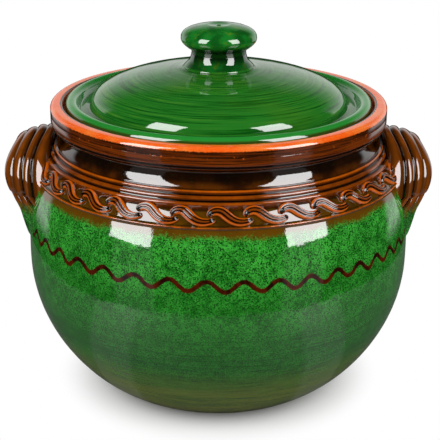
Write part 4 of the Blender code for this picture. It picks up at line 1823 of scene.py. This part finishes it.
@dataclass
class Handles:
    """The two ribbed strap handles, each lofted through the strap's sections."""

    pot: Pot
    strap_width: float = 0.0342
    thickness: float = 0.0072
    rib: float = 0.0022
    power: float = 2.1
    stand: float = 0.0198
    lean_top: float = math.radians(17)
    lean_side: float = math.radians(32)
    loop_radius: float = 0.0298
    loop_rise: float = 0.0306
    loop_height: float = 0.1313
    lean_in: float = 0.0056
    draw_in: float = 0.0030
    draw_in_turn: float = 0.5
    tail_length: float = 0.0252
    tail_stand: float = 0.0165
    arch_steps: int = 44
    tail_steps: int = 30
    rib_steps: int = 14
    inner_steps: int = 16
    # Where the grooves between the ribs are across the strap, and how far up each one stays
    rib_shares: tuple = (0.0, 0.23, 0.44, 0.625, 1.0)
    rib_floors: tuple = (0.3, 0.62, 0.1, 0.0, 0.3)
    top_width: float = 0.775
    side_width: float = 1.14
    # The tail: shares of its length, of how far it stands off, and of the width and the thickness
    tail_shares: tuple = (
        (0.00, 1.00, 1.14, 1.00),
        (0.20, 0.76, 0.94, 0.98),
        (0.42, 0.50, 0.71, 0.92),
        (0.64, 0.33, 0.48, 0.84),
        (0.84, 0.19, 0.27, 0.74),
        (1.00, 0.06, 0.12, 0.62),
        (1.10, -0.10, 0.06, 0.50),
    )

    def _section(self, width: float, thickness: float, rib: float) -> list[tuple[float, float, float]]:
        """The strap's section: places across and out, with how much glaze pools there.

        Args:
            width: The strap's width here.
            thickness: Its thickness here.
            rib: The height of its ribs here.

        Returns:
            A row for each point: its place across, its place out and its pool.
        """
        shrink = min(width / (self.strap_width * self.top_width), 1.0)
        edges = [share * self.strap_width * shrink for share in self.rib_shares[:-1]] + [width]
        places = [(0.0, self.rib_floors[0])]
        for near, far, low, high in zip(edges, edges[1:], self.rib_floors, self.rib_floors[1:]):
            for i in range(1, self.rib_steps + 1):
                share = i / self.rib_steps
                floor = low + (high - low) * share
                crown = (1 - abs(2 * share - 1) ** 2.4) ** 0.8
                places.append((near + (far - near) * share, floor + (1 - floor) * crown))
        points = []
        for across, ridge in places:
            crown = max(1 - abs(2 * across / width - 1) ** self.power, 0.0) ** 0.5
            pool = 1.1 - 1.5 * ridge
            points.append((across, (thickness / 2 + rib * (ridge - 0.5)) * crown, pool))
        for i in range(1, self.inner_steps):
            turn = math.cos(math.pi * i / self.inner_steps)
            crown = (1 - abs(turn) ** self.power) ** 0.5
            points.append((width * (1 + turn) / 2, -thickness / 2 * crown, 0.1))
        return points

    def _stations(self) -> list[tuple]:
        """Half of the loop, from the top of the arch to inside the belly at the tail's end.

        Returns:
            A row for each section: its reach, side, height, facing, lean, middle, width and thickness.
        """
        stations = []
        for i in range(self.arch_steps + 1):
            turn = i / self.arch_steps
            angle = turn * math.pi / 2
            late = max(turn - self.draw_in_turn, 0.0) / (1 - self.draw_in_turn)
            reach = self.pot.band_radius + self.stand
            reach -= self.lean_in * math.cos(angle) ** 4 + self.draw_in * late**2
            lean = self.lean_top + (self.lean_side - self.lean_top) * turn**2
            wide = 1 + (self.side_width - 1) * late**2
            width = self.strap_width * (wide - (1 - self.top_width) * math.cos(angle) ** 2)
            facing = (math.sin(angle), math.cos(angle))
            place = (self.loop_radius * facing[0], self.loop_height + self.loop_rise * facing[1])
            middle = self.strap_width * wide / 2
            stations.append((reach, *place, facing, lean, middle, width, self.thickness))
        for down, stand, wide, thick in read_evenly(self.tail_shares, self.tail_steps + 1)[1:]:
            height = self.loop_height - self.tail_length * down
            reach = math.sqrt(self.pot.belly(height) ** 2 - self.loop_radius**2) + self.tail_stand * stand
            lean = self.lean_side * (1 - down / 2)
            width = self.strap_width * wide
            size = (width / 2, width, self.thickness * thick)
            stations.append((reach, self.loop_radius, height, (1.0, 0.0), lean, *size))
        return stations

    def _ring(self, marks: Marks, station: tuple, mirror: float, turned: float) -> list[int]:
        """One section's points, for the handle on either side of the pot.

        Args:
            marks: The mesh's points and their marks.
            station: The section's row.
            mirror: -1 and 1 for the two halves of the loop.
            turned: 1 for the handle at +X and -1 for the one at -X.

        Returns:
            The numbers of the section's points.
        """
        reach, side, height, facing, lean, middle, width, thickness = station
        rib = self.rib * min(width / self.strap_width, 1.0)
        ring = []
        for across, out, pool in self._section(width, thickness, rib):
            along = out * math.sin(lean) - across * math.cos(lean)
            outward = out * math.cos(lean) + (across - middle) * math.sin(lean)
            x = reach + along
            y = mirror * (side + outward * facing[0])
            ring.append(marks.add((turned * x, turned * y, height + outward * facing[1]), pool, across))
        return ring

    def build(self, name: str, turned: float, glaze: bpy.types.Material) -> bpy.types.Object:
        """One handle.

        Args:
            name: The piece's name.
            turned: 1 for the handle at +X and -1 for the one at -X.
            glaze: Its finish.

        Returns:
            The finished handle.
        """
        half = self._stations()
        marks = Marks()
        rings = [self._ring(marks, station, -1.0, turned) for station in reversed(half[1:])]
        rings += [self._ring(marks, station, 1.0, turned) for station in half]
        faces = [tuple(reversed(rings[0])), tuple(rings[-1])]
        for near, far in zip(rings, rings[1:]):
            faces += zip(near, near[1:] + near[:1], far[1:] + far[:1], far)
        mesh = marks.mesh(name, faces)
        face_outward(mesh)
        mesh.materials.append(glaze)
        return placed(name, mesh)


@dataclass(frozen=True)
class Softbox:
    """A tall rectangular lamp, aimed at the pot."""

    name: str
    azimuth: float
    elevation: float = 26.5
    distance: float = 1.10
    width: float = 0.52
    height: float = 0.96
    power: float = 9.6
    mirrored: bool = True

    def build(self, target: Vector) -> None:
        """Places the lamp by its direction from the target, azimuth 0 being the camera's side.

        Args:
            target: The place that the lamp is aimed at.
        """
        lamp = bpy.data.lights.new(self.name, "AREA")
        lamp.shape = "RECTANGLE"
        lamp.size = self.width
        lamp.size_y = self.height
        lamp.energy = self.power
        obj = placed(self.name, lamp)
        turn, rise = math.radians(self.azimuth), math.radians(self.elevation)
        way = Vector((math.sin(turn) * math.cos(rise), -math.cos(turn) * math.cos(rise), math.sin(rise)))
        obj.location = target + way * self.distance
        obj.rotation_euler = way.to_track_quat("Z", "Y").to_euler()
        obj.visible_glossy = self.mirrored


@dataclass
class Studio:
    """The table, the lamps, the world and the camera.

    The softboxes' dim skirts and the backdrop are in the world, for the glaze to mirror.
    """

    # The camera. The frame, the focal length and the pot's axis in the photo are in pixels
    aim_height: float = 0.1038
    camera_distance: float = 0.774
    camera_elevation: float = math.radians(20.7)
    camera_roll: float = math.radians(0.21)
    sensor: float = 36.0
    frame: float = 440.0
    focal: float = 1200.0
    axis_column: float = 218.2
    # The table, and the radii between which the pot's shadow fades out of sight
    table_radius: float = 0.32
    table_drop: float = 0.0001
    table_sides: int = 128
    table_rough: float = 0.6
    table_white: float = 0.93
    shadow_radii: tuple = (0.066, 0.108)
    # The table as the glaze mirrors it: its grey, and its sheen before each softbox
    table_grey: float = 0.30
    table_dim: float = 0.12
    table_sheen: float = 0.12
    sheen_start: tuple = (-0.44, -0.50)
    sheen_end: tuple = (-0.81, -0.75)
    # The room as the glaze mirrors it, by the way's part along +Y or +Z, from -1 to 1
    room: float = 0.010
    backdrop: float = 0.85
    backdrop_start: tuple = (0.44, 0.56)
    backdrop_foot: tuple = (-0.03, 0.04)
    backdrop_top: tuple = (0.60, 0.08)
    wing_foot: tuple = (-0.30, -0.20)
    wing_end: tuple = (0.93, 0.86)
    skirt: float = 0.13
    skirt_start: tuple = (-0.44, -0.47)
    skirt_end: tuple = (-0.81, -0.78)
    skirt_top: tuple = (0.06, 0.03)
    skirt_foot: tuple = (-0.75, -0.60)
    lamps: tuple = (
        Softbox("softbox_left", azimuth=-50.0),
        Softbox("softbox_right", azimuth=51.0),
        Softbox("back_fill", 180.0, 50.0, 1.30, width=1.60, height=1.20, power=9.0, mirrored=False),
    )

    def build(self) -> None:
        """Makes the whole stage."""
        target = Vector((0.0, 0.0, self.aim_height))
        for lamp in self.lamps:
            lamp.build(target)
        self._table()
        self._world()
        self._camera(target)

    def _table(self) -> None:
        """A round white table top. Its rim melts into the white background."""
        shaped = bmesh.new()
        sides, radius = self.table_sides, self.table_radius
        bmesh.ops.create_circle(shaped, cap_ends=True, segments=sides, radius=radius)
        bmesh.ops.translate(shaped, verts=shaped.verts, vec=(0.0, 0.0, -self.table_drop))
        mesh = bpy.data.meshes.new("table")
        shaped.to_mesh(mesh)
        shaped.free()
        table = placed("table", mesh)
        material = bpy.data.materials.new("white_table")
        material.use_nodes = True
        graph = Graph(material.node_tree)
        shader = material.node_tree.nodes["Principled BSDF"]
        shader.inputs["Roughness"].default_value = self.table_rough
        glow = graph.node("ShaderNodeEmission", {"Strength": 1.0})
        place = graph.node("ShaderNodeTexCoord").outputs["Object"]
        _, north, radius, _ = graph.wheel(place)
        paths = graph.node("ShaderNodeLightPath").outputs
        seen, mirrored = paths["Is Camera Ray"], paths["Is Glossy Ray"]
        near = graph.both(graph.step(north, *self.sheen_start), graph.step(north, *self.sheen_end))
        grey = graph.math("MULTIPLY_ADD", near, self.table_sheen, self.table_dim)
        grey = graph.step(mirrored, 0.0, 1.0, self.table_grey, grey)
        white = (self.table_white, self.table_white, self.table_white, 1.0)
        graph.feed(shader.inputs["Base Color"], graph.mix(seen, graph.vector(grey, grey, grey), white))
        share = graph.both(seen, graph.step(radius, *self.shadow_radii))
        blend = graph.node("ShaderNodeMixShader", {0: share, 1: shader.outputs[0], 2: glow.outputs[0]})
        graph.feed(material.node_tree.nodes["Material Output"].inputs["Surface"], blend.outputs[0])
        mesh.materials.append(material)

    def _world(self) -> None:
        """A white background, and for reflections a dim room with a pale backdrop at the back."""
        world = bpy.data.worlds.new("studio")
        bpy.context.scene.world = world
        world.use_nodes = True
        graph = Graph(world.node_tree)
        way = graph.node("ShaderNodeTexCoord").outputs["Generated"]
        _, north, _, up = graph.wheel(way)
        wings = graph.both(graph.step(up, *self.wing_foot), graph.step(north, *self.wing_end))
        tall = graph.math("MAXIMUM", graph.step(up, *self.backdrop_foot), wings)
        tall = graph.both(graph.step(up, *self.backdrop_top), tall)
        screen = graph.both(graph.step(north, *self.backdrop_start), tall)
        screen = graph.math("MULTIPLY", screen, self.backdrop)
        near = graph.both(graph.step(north, *self.skirt_start), graph.step(north, *self.skirt_end))
        under = graph.both(graph.step(up, *self.skirt_top), graph.step(up, *self.skirt_foot))
        skirts = graph.math("MULTIPLY", graph.both(near, under), self.skirt)
        level = graph.math("ADD", graph.math("ADD", screen, skirts), self.room)
        paths = graph.node("ShaderNodeLightPath").outputs
        seen = paths["Is Camera Ray"]
        unseen = graph.math("SUBTRACT", 1.0, seen)
        level = graph.math("ADD", graph.both(level, unseen), seen)
        background = world.node_tree.nodes["Background"]
        background.inputs["Color"].default_value = (1.0, 1.0, 1.0, 1.0)
        graph.feed(background.inputs["Strength"], level)

    def _camera(self, target: Vector) -> None:
        """The camera at the photograph's viewing angle.

        Args:
            target: The place that the camera is aimed at.
        """
        data = bpy.data.cameras.new("camera")
        camera = placed("camera", data)
        data.sensor_width = self.sensor
        data.lens = self.sensor * self.focal / self.frame
        data.shift_x = (self.frame / 2 - self.axis_column) / self.frame
        rise = self.camera_elevation
        back = Vector((0.0, -math.cos(rise), math.sin(rise)))
        look = (-back).to_track_quat("-Z", "Y").to_matrix().to_4x4()
        place = Matrix.Translation(target + back * self.camera_distance)
        camera.matrix_world = place @ look @ Matrix.Rotation(self.camera_roll, 4, "Z")
        bpy.context.scene.camera = camera


def main() -> None:
    """Builds every piece in order, and then the studio."""
    logging.basicConfig(level=logging.INFO, format="%(name)s: %(message)s")
    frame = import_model()
    bpy.context.scene.view_settings.view_transform = "Standard"
    for name in ("Cube", "Light", "Camera"):
        if name in bpy.data.objects:
            bpy.data.objects.remove(bpy.data.objects[name], do_unlink=True)
    effects = Effects()
    throwing = Throwing()
    pot = Pot()
    pot_glaze = PotGlaze("pot_glaze").make(effects)
    declare(pot.build(throwing, pot_glaze), Body.POT, Slot.BODY, "pot_body")
    scrolls = ScrollChain(pot)
    nodes = sorted(name for name in frame["nodes"] if name.startswith("scroll_"))
    scroll_glaze = ScrollGlaze("scroll_glaze").make(effects)
    declare(scrolls.build(scroll_glaze), Body.POT, Slot.SCROLL, *nodes)
    handles = Handles(pot)
    handle_glaze = HandleGlaze("handle_glaze").make(effects)
    for node, turned in (("handle_right", 1.0), ("handle_left", -1.0)):
        piece = handles.build("ribbed_" + node, turned, handle_glaze)
        declare(piece, Body.POT, Slot.HANDLE, node)
    lid = Lid(pot=pot)
    lid_glaze = LidGlaze("lid_glaze").make(effects)
    declare(lid.build(throwing, lid_glaze), Body.LID, Slot.LID, "lid")
    knob = Knob(base=lid.boss_top() + lid.seat_gap)
    declare(knob.build(throwing, lid_glaze), Body.LID, Slot.LID, "lid_knob")
    Studio().build()


if __name__ == "__main__":
    main()
